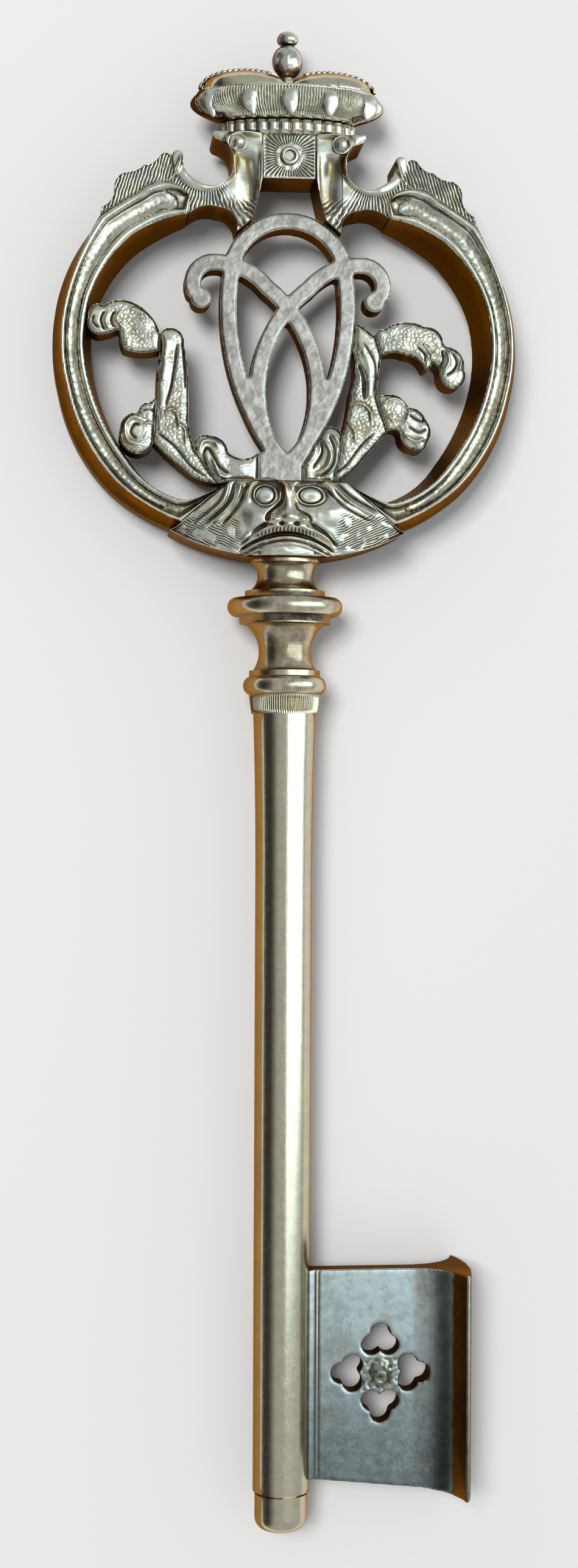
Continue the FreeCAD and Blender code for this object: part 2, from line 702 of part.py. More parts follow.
# The plaque between the posts, and the ring boss on its face.
pendant_plaque = new_body("pendant_plaque", BOW_LEVEL)
tablet = new_sketch(pendant_plaque, "Tablet")
draw(tablet, [
    ("-Sizes.plaque_half_width", PLAQUE_FOOT),
    ("Sizes.plaque_half_width", PLAQUE_FOOT),
    ("Sizes.plaque_half_width", HEAD),
    ("-Sizes.plaque_half_width", HEAD),
])
add_pad(pendant_plaque, tablet, "Plate", "Sizes.plaque_depth", both_ways=True)
BOSS_BEND_SHARE = 0.92
BOSS_FLOOR_SHARE = 0.3
make_stud(
    "plaque_boss",
    f"{BOW_LEVEL} + {PLAQUE_FOOT} + Sizes.plaque_height / 2",
    f"{AXIS_HEIGHT} + Sizes.plaque_depth / 2",
    "0",
    [
        ("0", "0"),
        ("Sizes.plaque_boss_radius", "0",
         f"{BOSS_BEND_SHARE} * Sizes.plaque_boss_radius", f"{BOSS_BEND_SHARE} * Sizes.plaque_boss_height"),
        ("Sizes.plaque_boss_eye_radius", "Sizes.plaque_boss_height"),
        ("Sizes.plaque_boss_eye_radius", f"{BOSS_FLOOR_SHARE} * Sizes.plaque_boss_height"),
        ("0", f"{BOSS_FLOOR_SHARE} * Sizes.plaque_boss_height"),
    ],
)

# The crown stands upright on posts and plaque. Its sections are ovals, flattened from
# front to back.
OVAL_SIDE_COUNT = 8


def oval(half_width, half_depth, sides=OVAL_SIDE_COUNT, swell="0"):
    """An oval of equal arcs, whose sides stand out by the swell."""
    curve = Part.Ellipse(FreeCAD.Vector(), measure(half_width), measure(half_depth)).toShape()
    corners = []
    for index, spot in enumerate(curve.discretize(2 * sides + 1)[:-1]):
        shares = (spot.x / measure(half_width), spot.y / measure(half_depth))
        inset = "0" if index % 2 else swell
        corners.append((
            f"{shares[0]:.5f} * ({half_width} - {inset})",
            f"{shares[1]:.5f} * ({half_depth} - {inset})",
        ))
    return [corners[index] + corners[index + 1] for index in range(0, 2 * sides, 2)]


# The base: a band of upright gadroons.
GADROON_COUNT = 28
crown_base = new_body("crown_base", CROWN_LEVEL, upright=True)
flutes = new_sketch(crown_base, "Gadroons")
draw(flutes, oval("Sizes.base_half_width", "Sizes.base_half_depth", GADROON_COUNT, "Sizes.gadroon_depth"))
add_pad(crown_base, flutes, "Band", "Sizes.base_height")

# The brim: a flared fur roll, widest at the middle of its height.
BRIM_SHARES = [(0, 0), (0.22, 0.62), (0.5, 1)]
BRIM_SHOULDER_SHARES = (0.8, 0.968)
crown_brim = new_body("crown_brim", BRIM_LEVEL, upright=True)
FLATNESS = "(Sizes.brim_half_depth / Sizes.brim_half_width)"
brim_rows = [
    (f"{height_share} * Sizes.brim_height",
     f"(Sizes.brim_foot_half_width + {share} * (Sizes.brim_half_width - Sizes.brim_foot_half_width))")
    for height_share, share in BRIM_SHARES
]
brim_rows.append((f"{BRIM_SHOULDER_SHARES[0]} * Sizes.brim_height",
                  f"({BRIM_SHOULDER_SHARES[1]} * Sizes.brim_half_width)"))
brim_rows.append(("Sizes.brim_height", "Sizes.brim_top_half_width"))
levels = []
for number, (lift, half_width) in enumerate(brim_rows):
    level = new_sketch(crown_brim, f"Level{number}", lift=lift)
    draw(level, oval(half_width, f"({half_width} * {FLATNESS})"))
    levels.append(level)
flare = crown_brim.newObject("PartDesign::AdditiveLoft", "Brim_Flare")
flare.Profile = levels[0]
flare.Sections = levels[1:]
doc.recompute()
PEG_BORE = "(Sizes.orb_peg_radius + Sizes.fit_gap)"
peg_hole = new_sketch(crown_brim, "PegHole", lift="Sizes.brim_height")
add_circle(peg_hole, "0", "0", PEG_BORE)
cut_pocket(crown_brim, peg_hole, "PegBore", "Sizes.orb_peg_length - Sizes.saddle_height + Sizes.fit_gap")

# The tails: five teardrops applied to the front of the brim.
TAIL_COUNT = 5
TAIL_LEVEL_SHARE = 0.56
tails = []
for number in range(-(TAIL_COUNT // 2), TAIL_COUNT // 2 + 1):
    tail = doc.addObject("Part::Ellipsoid", "Tail")
    tail.setExpression("Radius1", "Sizes.tail_half_depth")
    tail.setExpression("Radius2", "Sizes.tail_half_width")
    tail.setExpression("Radius3", "Sizes.tail_half_height")
    across = f"{number} * Sizes.tail_pitch"
    along = f"{BRIM_LEVEL} + {TAIL_LEVEL_SHARE} * Sizes.brim_height"
    out = f"{FLATNESS} * {chord('Sizes.brim_half_width', f'({across})')}"
    place(tail, along, f"{AXIS_HEIGHT} + {out}", across)
    tails.append(tail)
all_tails = doc.addObject("Part::MultiFuse", "AllTails")
all_tails.Shapes = tails
brim_tails = doc.addObject("Part::Cut", "brim_tails")
brim_tails.Base = all_tails
brim_tails.Tool = crown_brim
brim_tails.Label = "brim_tails"
parts.append(brim_tails)
doc.recompute()

# The cap: two soft lobes with a flat seat for the finial between them.
crown_cap = new_body("crown_cap", CAP_LEVEL, upright=True)


def add_primitive(body, kind, name, lengths, across="0", along="0", lift="0"):
    """Adds a ball or an ellipsoid at a place of the body's own frame."""
    before = body.Shape.Volume if body.Tip else 0
    primitive = body.newObject(f"PartDesign::Additive{kind}", f"{body.Name}_{name}")
    for feature in body.Origin.OriginFeatures:
        if feature.Role == "XY_Plane":
            primitive.AttachmentSupport = (feature, "")
    primitive.MapMode = "FlatFace"
    for axis, expression in (("x", across), ("y", along), ("z", lift)):
        primitive.setExpression(f"AttachmentOffset.Base.{axis}", expression)
    for length, expression in lengths.items():
        primitive.setExpression(length, expression)
    doc.recompute()
    if body.Shape.Volume <= before:
        raise ValueError(f"{name} adds nothing to {body.Label}")


for name, side in (("LeftLobe", "-1"), ("RightLobe", "1")):
    lengths = {
        "Radius1": "Sizes.lobe_height",
        "Radius2": "Sizes.lobe_half_width",
        "Radius3": "Sizes.lobe_half_depth",
        "Angle1": "0",
    }
    add_primitive(crown_cap, "Ellipsoid", name, lengths, across=f"{side} * Sizes.lobe_offset")
seat = new_sketch(crown_cap, "Seat", lift="2 * Sizes.lobe_height")
add_circle(seat, "0", "0", "Sizes.saddle_radius")
cut_pocket(crown_cap, seat, "SeatFace", "2 * Sizes.lobe_height - Sizes.saddle_height")
cap_hole = new_sketch(crown_cap, "PegHole", lift="Sizes.saddle_height")
add_circle(cap_hole, "0", "0", PEG_BORE)
cut_pocket(crown_cap, cap_hole, "PegBore", "2 * Sizes.saddle_height")

# The cap's arches: a strap over the crest of each lobe.
def make_arch(label, side):
    """A strap: the skin of a slightly larger lobe, as wide as the arch."""
    outer, inner = (doc.addObject("Part::Ellipsoid", f"{label}_{name}") for name in ("Skin", "Lobe"))
    for ellipsoid, extra in ((outer, "Sizes.arch_thickness"), (inner, "0")):
        ellipsoid.setExpression("Radius1", f"Sizes.lobe_half_depth + {extra}")
        ellipsoid.setExpression("Radius2", f"Sizes.lobe_half_width + {extra}")
        ellipsoid.setExpression("Radius3", f"Sizes.lobe_height + {extra}")
        place(ellipsoid, CAP_LEVEL, AXIS_HEIGHT, f"{side} * Sizes.lobe_offset")
    skin = doc.addObject("Part::Cut", f"{label}_Shell")
    skin.Base = outer
    skin.Tool = inner
    slab = doc.addObject("Part::Box", f"{label}_Slab")
    slab.setExpression("Length", "2 * Sizes.lobe_half_width")
    slab.setExpression("Width", "2 * Sizes.lobe_height")
    slab.setExpression("Height", "Sizes.arch_width")
    inner_end = "(Sizes.saddle_radius + Sizes.fit_gap)"
    start = inner_end if side > 0 else f"(-{inner_end} - 2 * Sizes.lobe_half_width)"
    place(slab, CAP_LEVEL, f"{AXIS_HEIGHT} - Sizes.arch_width / 2", start)
    arch = doc.addObject("Part::Common", label)
    arch.Base = skin
    arch.Tool = slab
    arch.Label = label
    parts.append(arch)
    doc.recompute()


make_arch("left_cap_arch", -1)
make_arch("right_cap_arch", 1)

# The finial: a turned orb on a foot, pegged through the cap, with a ball pegged on top.
FOOT_BEND_SHARES = (1.02, 0.6)
BALL_FOOT_SHARE = 0.5
BALL_WIDEST_SHARE = 0.62
LOWER_BEND_SHARES = (0.9, 0.25)
UPPER_BEND_SHARES = (0.72, 1.12)
BALL_BORE = "(Sizes.ball_peg_radius + Sizes.fit_gap)"
BALL_BORE_FLOOR = f"({ORB_LENGTH} - Sizes.ball_peg_length - Sizes.fit_gap)"
orb = new_body("orb", ORB_LEVEL)
orb_profile = new_sketch(orb, "Profile")
draw(orb_profile, [
    ("0", "-Sizes.orb_peg_length"),
    ("Sizes.orb_peg_radius", "-Sizes.orb_peg_length"),
    ("Sizes.orb_peg_radius", "0"),
    ("Sizes.orb_foot_radius", "0",
     f"{FOOT_BEND_SHARES[0]} * Sizes.orb_neck_radius", f"{FOOT_BEND_SHARES[1]} * Sizes.orb_foot_height"),
    ("Sizes.orb_neck_radius", "Sizes.orb_foot_height",
     "Sizes.orb_radius", "Sizes.orb_foot_height + Sizes.orb_radius"),
    ("Sizes.orb_neck_radius", ORB_LENGTH),
    (BALL_BORE, ORB_LENGTH),
    (BALL_BORE, BALL_BORE_FLOOR),
    ("0", BALL_BORE_FLOOR),
])
turn(orb, orb_profile)
orb_ball = new_body("orb_ball", BALL_LEVEL)
ball_profile = new_sketch(orb_ball, "Profile")
draw(ball_profile, [
    ("0", "-Sizes.ball_peg_length"),
    ("Sizes.ball_peg_radius", "-Sizes.ball_peg_length"),
    ("Sizes.ball_peg_radius", "0"),
    *scaled([
        (BALL_FOOT_SHARE, 0, *LOWER_BEND_SHARES),
        (1, BALL_WIDEST_SHARE, *UPPER_BEND_SHARES),
        (DOME_FLAT_SHARE, BALL_HEIGHT_SHARE),
        (0, BALL_HEIGHT_SHARE),
    ], "Sizes.ball_radius"),
])
turn(orb_ball, ball_profile)

# The strapwork: flat bands pierced from one plate, an egg-shaped loop and two ribbons that
# rise from its foot, cross, and curl outside it. A foot block joins them on the mask.
LOOP_SHARES = [
    (0, 0.5627, 0.1765, 0.490),
    (0.247, 0.3176, 0.241, 0.0235),
    (0.153, -0.255, 0.0863, -0.3765),
    (0, -0.478, -0.0863, -0.3765),
    (-0.153, -0.255, -0.241, 0.0235),
    (-0.247, 0.3176, -0.1765, 0.490),
]
RIBBON_SHARES = [
    (-0.035, -0.467, -0.1255, -0.2196),
    (-0.090, 0.039, -0.012, 0.1765),
    (0.090, 0.278, 0.196, 0.357),
    (0.3216, 0.380, 0.400, 0.329),
    (0.396, 0.247),
]
CURL_SHARES = (0.372, 0.226)
FOOT_BLOCK_SHARES = [
    (-0.125, SEAT_SHARE),
    (0.065, SEAT_SHARE),
    (0.065, -0.437, -0.03, -0.425),
    (-0.125, -0.429),
]


def strap(name, shares, closed, side=1, room="0", depth="Sizes.strap_depth"):
    """A flat band: the two halves of a strap's width, on both sides of a middle line."""
    line = doc.addObject("Sketcher::SketchObject", f"{name}Line")
    draw(line, scaled(shares, side=side), closed)
    halves = []
    for sign in ("", "-"):
        flat = doc.addObject("Part::Offset2D", f"{name}Band")
        flat.Source = line
        flat.Fill = True
        flat.Mode = "Pipe" if closed else "Skin"
        flat.setExpression("Value", f"{sign}(Sizes.strap_width / 2 + {room})")
        halves.append(raise_strap(name, flat, depth))
    return halves


def raise_strap(name, flat, depth="Sizes.strap_depth"):
    """Gives a flat outline of the strapwork its thickness."""
    solid = doc.addObject("Part::Extrusion", name)
    solid.Base = flat
    solid.DirMode = "Custom"
    solid.Dir = FreeCAD.Vector(0, 0, 1)
    solid.setExpression("LengthFwd", depth)
    solid.Symmetric = True
    solid.Solid = True
    doc.recompute()
    return solid


def all_bands(**fit):
    """The loop and both ribbons."""
    return [
        *strap("Loop", LOOP_SHARES, closed=True, **fit),
        *strap("LeftRibbon", RIBBON_SHARES, closed=False, side=-1, **fit),
        *strap("RightRibbon", RIBBON_SHARES, closed=False, **fit),
    ]


curls = []
for side in (-1, 1):
    curl = doc.addObject("Part::Cylinder", "Curl")
    curl.setExpression("Radius", "Sizes.curl_radius")
    curl.setExpression("Height", "Sizes.strap_depth")
    place(curl, f"{CURL_SHARES[1]} * Sizes.bow_reach", "-Sizes.strap_depth / 2",
          f"{side * CURL_SHARES[0]} * Sizes.bow_reach")
    curls.append(curl)
foot_line = doc.addObject("Sketcher::SketchObject", "FootLine")
draw(foot_line, scaled(FOOT_BLOCK_SHARES))
foot_block = raise_strap("FootBlock", foot_line)
strapwork_knot = doc.addObject("Part::MultiFuse", "strapwork_knot")
strapwork_knot.Shapes = [*all_bands(), *curls, foot_block]
strapwork_knot.Label = "strapwork_knot"
strapwork_knot.Refine = True
place(strapwork_knot, BOW_LEVEL, f"{AXIS_HEIGHT} + Sizes.strap_rise")
parts.append(strapwork_knot)

# The sprays: cast acanthus, one on each side of the strapwork. Each is a foot scroll that
# sits on the mask, a stem behind it, and two leaves soldered to the stem.
LEFT_SCROLL_SHARES = [
    (-0.125, -0.557),
    (-0.251, -0.557),
    (-0.295, -0.565),
    (-0.395, -0.426, -0.39, -0.376),
    (-0.335, -0.361, -0.285, -0.376),
    (-0.254, -0.431, -0.204, -0.455),
    (-0.125, -0.429),
]
LEFT_STEM_SHARES = [
    (-0.295, -0.565),
    (-0.395, -0.426, -0.416, -0.358),
    (-0.424, -0.293, -0.426, -0.123),
    (-0.444, 0.029, -0.46, 0.076),
    (-0.497, 0.094, -0.531, 0.086),
    (-0.546, 0.068),
    (-0.546, -0.003, -0.559, -0.11),
    (-0.559, -0.201),
    (-0.573, -0.392, -0.499, -0.465),
    (-0.41, -0.536, -0.353, -0.557),
]
LEFT_LOWER_LEAF_SHARES = [
    (-0.559, -0.201),
    (-0.573, -0.392, -0.593, -0.429),
    (-0.656, -0.442, -0.706, -0.405),
    (-0.714, -0.345, -0.698, -0.293),
    (-0.635, -0.269, -0.625, -0.238),
    (-0.588, -0.225),
]
LEFT_UPPER_LEAF_SHARES = [
    (-0.546, -0.003),
    (-0.546, 0.068, -0.588, 0.146),
    (-0.68, 0.204, -0.729, 0.207),
    (-0.784, 0.183, -0.824, 0.186),
    (-0.85, 0.131, -0.844, 0.078),
    (-0.803, 0.058, -0.758, 0.068),
    (-0.714, 0.089, -0.716, 0.047),
    (-0.701, 0.0, -0.641, -0.013),
]
RIGHT_SCROLL_SHARES = [
    (0.065, -0.557),
    (0.201, -0.557),
    (0.235, -0.35, 0.191, -0.314),
    (0.144, -0.332, 0.112, -0.361),
    (0.115, -0.387, 0.086, -0.437),
    (0.065, -0.437),
]
RIGHT_STEM_SHARES = [
    (0.201, -0.557),
    (0.235, -0.35, 0.256, -0.267),
    (0.272, -0.162, 0.29, -0.058),
    (0.285, -0.01, 0.261, 0.047),
    (0.225, 0.099, 0.222, 0.131),
    (0.246, 0.144, 0.306, 0.125),
    (0.358, 0.086),
    (0.379, 0.078),
    (0.403, -0.005, 0.39, -0.097),
    (0.382, -0.183),
    (0.431, -0.329, 0.358, -0.413),
    (0.301, -0.481, 0.259, -0.518),
]
RIGHT_LOWER_LEAF_SHARES = [
    (0.431, -0.329),
    (0.382, -0.183, 0.431, -0.17),
    (0.471, -0.175, 0.505, -0.201),
    (0.52, -0.225, 0.562, -0.235),
    (0.596, -0.277, 0.617, -0.324),
    (0.601, -0.376, 0.575, -0.41),
    (0.546, -0.405, 0.505, -0.387),
    (0.484, -0.335, 0.46, -0.319),
]
RIGHT_UPPER_LEAF_SHARES = [
    (0.403, -0.005),
    (0.379, 0.078, 0.384, 0.097),
    (0.41, 0.107, 0.497, 0.141),
    (0.588, 0.123, 0.646, 0.105),
    (0.669, 0.068, 0.675, 0.047),
    (0.693, 0.039, 0.745, 0.008),
    (0.761, -0.058, 0.758, -0.115),
    (0.724, -0.139, 0.672, -0.12),
    (0.656, -0.065, 0.638, -0.037),
    (0.612, -0.026, 0.609, -0.058),
    (0.591, -0.06, 0.562, -0.018),
    (0.51, 0.0, 0.458, 0.01),
]


def make_leaf(label, shares):
    """One casting of a spray."""
    leaf = new_body(label, BOW_LEVEL, f"{AXIS_HEIGHT} + Sizes.spray_rise")
    outline = new_sketch(leaf, "Outline")
    draw(outline, scaled(shares))
    add_pad(leaf, outline, "Casting", "Sizes.spray_depth", both_ways=True)


# The room the strapwork takes up beside the right spray, a solder gap wider than its bands.
strap_room = doc.addObject("Part::MultiFuse", "StrapRoom")
strap_room.Shapes = all_bands(room="Sizes.solder_gap", depth="2 * Sizes.spray_depth")
place(strap_room, BOW_LEVEL, f"{AXIS_HEIGHT} + Sizes.spray_rise")


def seat_on_strapwork(label):
    """Cuts a casting back to where it is soldered to the side of the strapwork."""
    casting = next(piece for piece in parts if piece.Label == label)
    parts.remove(casting)
    casting.Label = f"{label}_uncut"
    seated = doc.addObject("Part::Cut", label)
    seated.Base = casting
    seated.Tool = strap_room
    seated.Label = label
    parts.append(seated)
    doc.recompute()


make_leaf("left_foot_scroll", LEFT_SCROLL_SHARES)
make_leaf("left_stem", LEFT_STEM_SHARES)
make_leaf("left_lower_leaf", LEFT_LOWER_LEAF_SHARES)
make_leaf("left_upper_leaf", LEFT_UPPER_LEAF_SHARES)
make_leaf("right_foot_scroll", RIGHT_SCROLL_SHARES)
make_leaf("right_stem", RIGHT_STEM_SHARES)
seat_on_strapwork("right_foot_scroll")
seat_on_strapwork("right_stem")
make_leaf("right_lower_leaf", RIGHT_LOWER_LEAF_SHARES)
make_leaf("right_upper_leaf", RIGHT_UPPER_LEAF_SHARES)

# The mask: a grotesque face on the block that closes the foot of the bow. Its flat top
# carries strapwork and sprays, its slanting sides the arms, and its chin sits on the collar.
CHIN_SHARES = (0.153, -BOW_FOOT_SHARE, 0.337, -0.841)
WING_TIP_SHARES = (0.506, -0.7686)
FACE_SHARES = [
    (0.192, -0.568, 0.298, -0.678),
    (0.455, -0.753, 0.3216, -0.8196),
    (0.1725, -0.859),
]
MOUTH_SHARES = [
    (-0.2078, -0.827, 0, -0.745),
    (0.2078, -0.827, 0, -0.775),
]
BROW_SHARES = [
    (0.012, -0.592, 0.095, -0.5475),
    (0.192, -0.600, 0.100, -0.569),
]
LIP_SHARES = (0, -0.822)
EYE_SHARES = (0.0902, -0.6078)
NOSE_SHARES = (0, -0.665)
NOSTRIL_SHARES = (0.031, -0.722)


def mirrored(shares):
    """A right half, from the bottom up or the top down, closed by its mirror image."""
    left = []
    for index in range(len(shares) - 1, -1, -1):
        bend = shares[index - 1][2:] if index else ()
        point = shares[index][:2]
        left.append((-point[0], point[1]) + ((-bend[0], bend[1]) if bend else ()))
    return list(shares) + left


mask = new_body("mask", BOW_LEVEL)
block = new_sketch(mask, "Block")
draw(block, scaled(mirrored([CHIN_SHARES, WING_TIP_SHARES, MASK_TIP_SHARES, MASK_CORNER_SHARES])))
add_pad(mask, block, "Block", "Sizes.bow_depth", both_ways=True)
face = new_sketch(mask, "Face", lift=FRONT)
draw(face, scaled(mirrored(FACE_SHARES)))
add_pad(mask, face, "Face", "Sizes.face_height")
FACE_FRONT = f"({FRONT} + Sizes.face_height)"
mouth = new_sketch(mask, "Mouth", lift=FACE_FRONT)
draw(mouth, scaled(MOUTH_SHARES))
cut_pocket(mask, mouth, "Mouth", "Sizes.mouth_depth")
for name, shares in (("nose", NOSE_SHARES), ("lip", LIP_SHARES)):
    lengths = {
        "Radius1": "Sizes.nose_height" if name == "nose" else "Sizes.lip_rise",
        "Radius2": f"Sizes.{name}_half_width",
        "Radius3": f"Sizes.{name}_half_length",
    }
    add_primitive(mask, "Ellipsoid", name, lengths, *scaled([shares])[0], FACE_FRONT)
for name, side in (("left", -1), ("right", 1)):
    place_of_eye = scaled([EYE_SHARES], side=side)[0]
    socket = new_sketch(mask, f"{name}_socket", lift=FACE_FRONT)
    add_circle(socket, *place_of_eye, "Sizes.socket_radius")
    add_circle(socket, *place_of_eye, "Sizes.socket_radius - Sizes.socket_width")
    add_pad(mask, socket, f"{name}_socket_ring", "Sizes.socket_height")
    eye = {"Radius": "Sizes.eye_radius"}
    add_primitive(mask, "Sphere", f"{name}_eye", eye, *place_of_eye, f"{FACE_FRONT} - Sizes.eye_sink")
    nostril = {"Radius": "Sizes.nostril_radius"}
    add_primitive(mask, "Sphere", f"{name}_nostril", nostril,
                  *scaled([NOSTRIL_SHARES], side=side)[0], f"{FACE_FRONT} - Sizes.nostril_sink")
    brow = new_sketch(mask, f"{name}_brow", lift=FACE_FRONT)
    draw(brow, scaled(BROW_SHARES, side=side))
    add_pad(mask, brow, f"{name}_brow_ridge", "Sizes.brow_height")
tenon_hole = new_sketch(mask, "TenonHole", plane="XZ_Plane", lift=f"{BOW_FOOT_SHARE} * Sizes.bow_reach")
add_circle(tenon_hole, "0", "0", BORE)
cut_pocket(mask, tenon_hole, "TenonBore", "Sizes.tenon_in_mask + Sizes.fit_gap")


def finish():
    """Checks every feature and piece, then writes one file for each piece."""
    os.makedirs("parts", exist_ok=True)
    for feature in doc.Objects:
        faults = [state for state in feature.State if state in ("Invalid", "Error")]
        if faults:
            raise ValueError(f"{feature.Name} is {faults}")
    for piece in parts:
        if piece.Shape.isNull() or not piece.Shape.isValid():
            raise ValueError(f"{piece.Label} has no valid shape")
        piece.Shape.exportStep(f"parts/{piece.Label}.step")
        box = piece.Shape.BoundBox
        print(piece.Label, len(piece.Shape.Solids), round(piece.Shape.Volume, 2),
              [round(v, 2) for v in (box.XMin, box.XMax, box.YMin, box.YMax, box.ZMin, box.ZMax)])


finish()
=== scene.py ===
# Looks of the chamberlain key, lying on its back on a pale table and seen from above.
# Lengths are metres; MM turns millimetres into them. +Y runs to the crown, +X to the bit.
import math

import bmesh
import bpy
import numpy as np
from mathutils import Matrix, Vector, kdtree, noise


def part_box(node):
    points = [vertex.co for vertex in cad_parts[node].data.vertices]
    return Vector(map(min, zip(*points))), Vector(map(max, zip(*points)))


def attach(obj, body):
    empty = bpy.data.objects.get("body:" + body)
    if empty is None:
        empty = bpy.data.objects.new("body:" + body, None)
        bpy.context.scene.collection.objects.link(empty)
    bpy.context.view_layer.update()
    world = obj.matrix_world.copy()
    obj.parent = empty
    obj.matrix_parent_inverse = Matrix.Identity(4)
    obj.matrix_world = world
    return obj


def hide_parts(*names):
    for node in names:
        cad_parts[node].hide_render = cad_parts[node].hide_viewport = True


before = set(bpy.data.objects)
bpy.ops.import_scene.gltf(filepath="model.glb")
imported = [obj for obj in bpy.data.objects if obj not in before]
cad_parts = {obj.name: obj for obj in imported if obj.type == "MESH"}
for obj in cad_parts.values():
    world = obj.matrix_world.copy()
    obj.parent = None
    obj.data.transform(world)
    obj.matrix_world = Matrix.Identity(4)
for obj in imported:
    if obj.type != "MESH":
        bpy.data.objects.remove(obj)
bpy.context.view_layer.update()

MM = 0.001
scene = bpy.context.scene
scene.view_settings.view_transform = "Standard"

# Camera: above the left edge of the key, level with its middle, turned a little to it.
CAMERA_PLACE = Vector((-25, 0, 266)) * MM
CAMERA_TILT = (-0.0015, -0.0981, 0.0045)  # radians round x, y and z
LENS_LENGTH = 54.5  # millimetres
camera_data = bpy.data.cameras.new("camera")
camera_data.lens = LENS_LENGTH
camera_data.clip_start = 10 * MM
camera = bpy.data.objects.new("camera", camera_data)
turn_x, turn_y, turn_z = (
    Matrix.Rotation(angle, 4, axis) for angle, axis in zip(CAMERA_TILT, "XYZ")
)
camera.matrix_world = Matrix.Translation(CAMERA_PLACE) @ turn_x @ turn_y @ turn_z
scene.collection.objects.link(camera)
scene.camera = camera


# Metals. The key is brass, silvered and gilt: where hands rub, it is a pale silver gold,
# and down the walls and in the hollows it is an orange brown tarnish. Painted shade lies over
# that: the hollows go near black, and the walls darken towards the table and where they face left.
class Wire:
    """The output of a shader node, which can be used in sums."""

    def __init__(self, material, socket):
        self.material = material
        self.socket = socket

    def sum_with(self, operation, first, second):
        return self.material.node(
            "ShaderNodeMath", {0: first, 1: second}, operation=operation
        )

    def __add__(self, other):
        return self.sum_with("ADD", self, other)

    def __sub__(self, other):
        return self.sum_with("SUBTRACT", self, other)

    def __rsub__(self, other):
        return self.sum_with("SUBTRACT", other, self)

    def __mul__(self, other):
        return self.sum_with("MULTIPLY", self, other)

    __rmul__ = __mul__


class Material:
    """A material whose nodes are made one by one."""

    def __init__(self, name):
        self.data = bpy.data.materials.new(name)
        self.data.use_nodes = True
        self.tree = self.data.node_tree
        self.shader = self.tree.nodes["Principled BSDF"]

    def node(self, kind, inputs, output=0, **settings):
        made = self.tree.nodes.new(kind)
        for setting, value in settings.items():
            setattr(made, setting, value)
        for place, value in inputs.items():
            self.feed(made.inputs[place], value)
        return Wire(self, made.outputs[output])

    def feed(self, socket, value):
        if isinstance(value, Wire):
            self.tree.links.new(value.socket, socket)
        else:
            socket.default_value = value

    def step(self, value, low, high):
        """0 below the low value, 1 above the high one, and smooth between."""
        return self.node(
            "ShaderNodeMapRange",
            {"Value": value, "From Min": low, "From Max": high},
            interpolation_type="SMOOTHSTEP",
        )

    def mix(self, share, first, second):
        """The first colour where the share is 0, the second where it is 1."""
        return self.node(
            "ShaderNodeMix", {0: share, 6: first, 7: second}, output=2, data_type="RGBA"
        )

    def place(self):
        """Where on the key a point is, in metres."""
        return self.node("ShaderNodeTexCoord", {}, output="Object")

    def along(self, axis):
        """How far along the X, Y or Z axis of the key a point is, in metres."""
        return self.node("ShaderNodeSeparateXYZ", {0: self.place()}, output=axis)

    def attribute(self, name):
        """A value that the mesh holds for each of its points."""
        return self.node("ShaderNodeAttribute", {}, output="Fac", attribute_name=name)

    def grain(self, pitch, stretch=(1, 1, 1), detail=4.0, turn=0.0):
        """Soft noise whose lumps are about a pitch apart, drawn out along an axis."""
        stretched = self.node(
            "ShaderNodeMapping",
            {"Vector": self.place(), "Rotation": (0, 0, turn), "Scale": stretch},
            vector_type="TEXTURE",
        )
        return self.node(
            "ShaderNodeTexNoise",
            {"Vector": stretched, "Scale": 1 / pitch, "Detail": detail, "Roughness": 0.6},
        )


# The colours of bare metal, of its stains and tarnish, and of its edges seen at a slant.
SILVER_GOLD = (0.69, 0.64, 0.48, 1)
SILVER = (0.80, 0.79, 0.66, 1)
ASH = (0.60, 0.555, 0.50, 1)
STEEL = (0.56, 0.63, 0.62, 1)
DARK_SLATE = (0.13, 0.16, 0.16, 1)
OLD_GOLD = (0.48, 0.37, 0.18, 1)
# The near black of soot in the hollows, which stands in for their shade too.
SOOT_AND_SHADE = (0.055, 0.045, 0.036, 1)
SLATE = (0.26, 0.30, 0.36, 1)
MAUVE = (0.28, 0.23, 0.21, 1)
BRONZE = (0.45, 0.25, 0.09, 1)
ORANGE = (0.25, 0.098, 0.024, 1)
# The dark brown of grime on the walls, which near the table stands in for their shade.
UMBER = (0.038, 0.019, 0.010, 1)
EDGE_GOLD = (0.80, 0.53, 0.33, 1)

# Values of the age at which rubbed metal starts to turn gold, gold starts to darken with soot
# and painted shade, and all is that near black.
GOLD_AGE, SOOT_AND_SHADE_AGE, ALL_SOOT_AND_SHADE_AGE = 0.0, 0.35, 0.85
# Where along the key the darkening towards the tip fades out, and over which heights the
# painted shade on the walls gets lighter.
FOOT_DARKEST_BELOW, FOOT_UNDARKENED_ABOVE = -78 * MM, -56 * MM
SHADED_BELOW, LIT_ABOVE = 3 * MM, 11 * MM


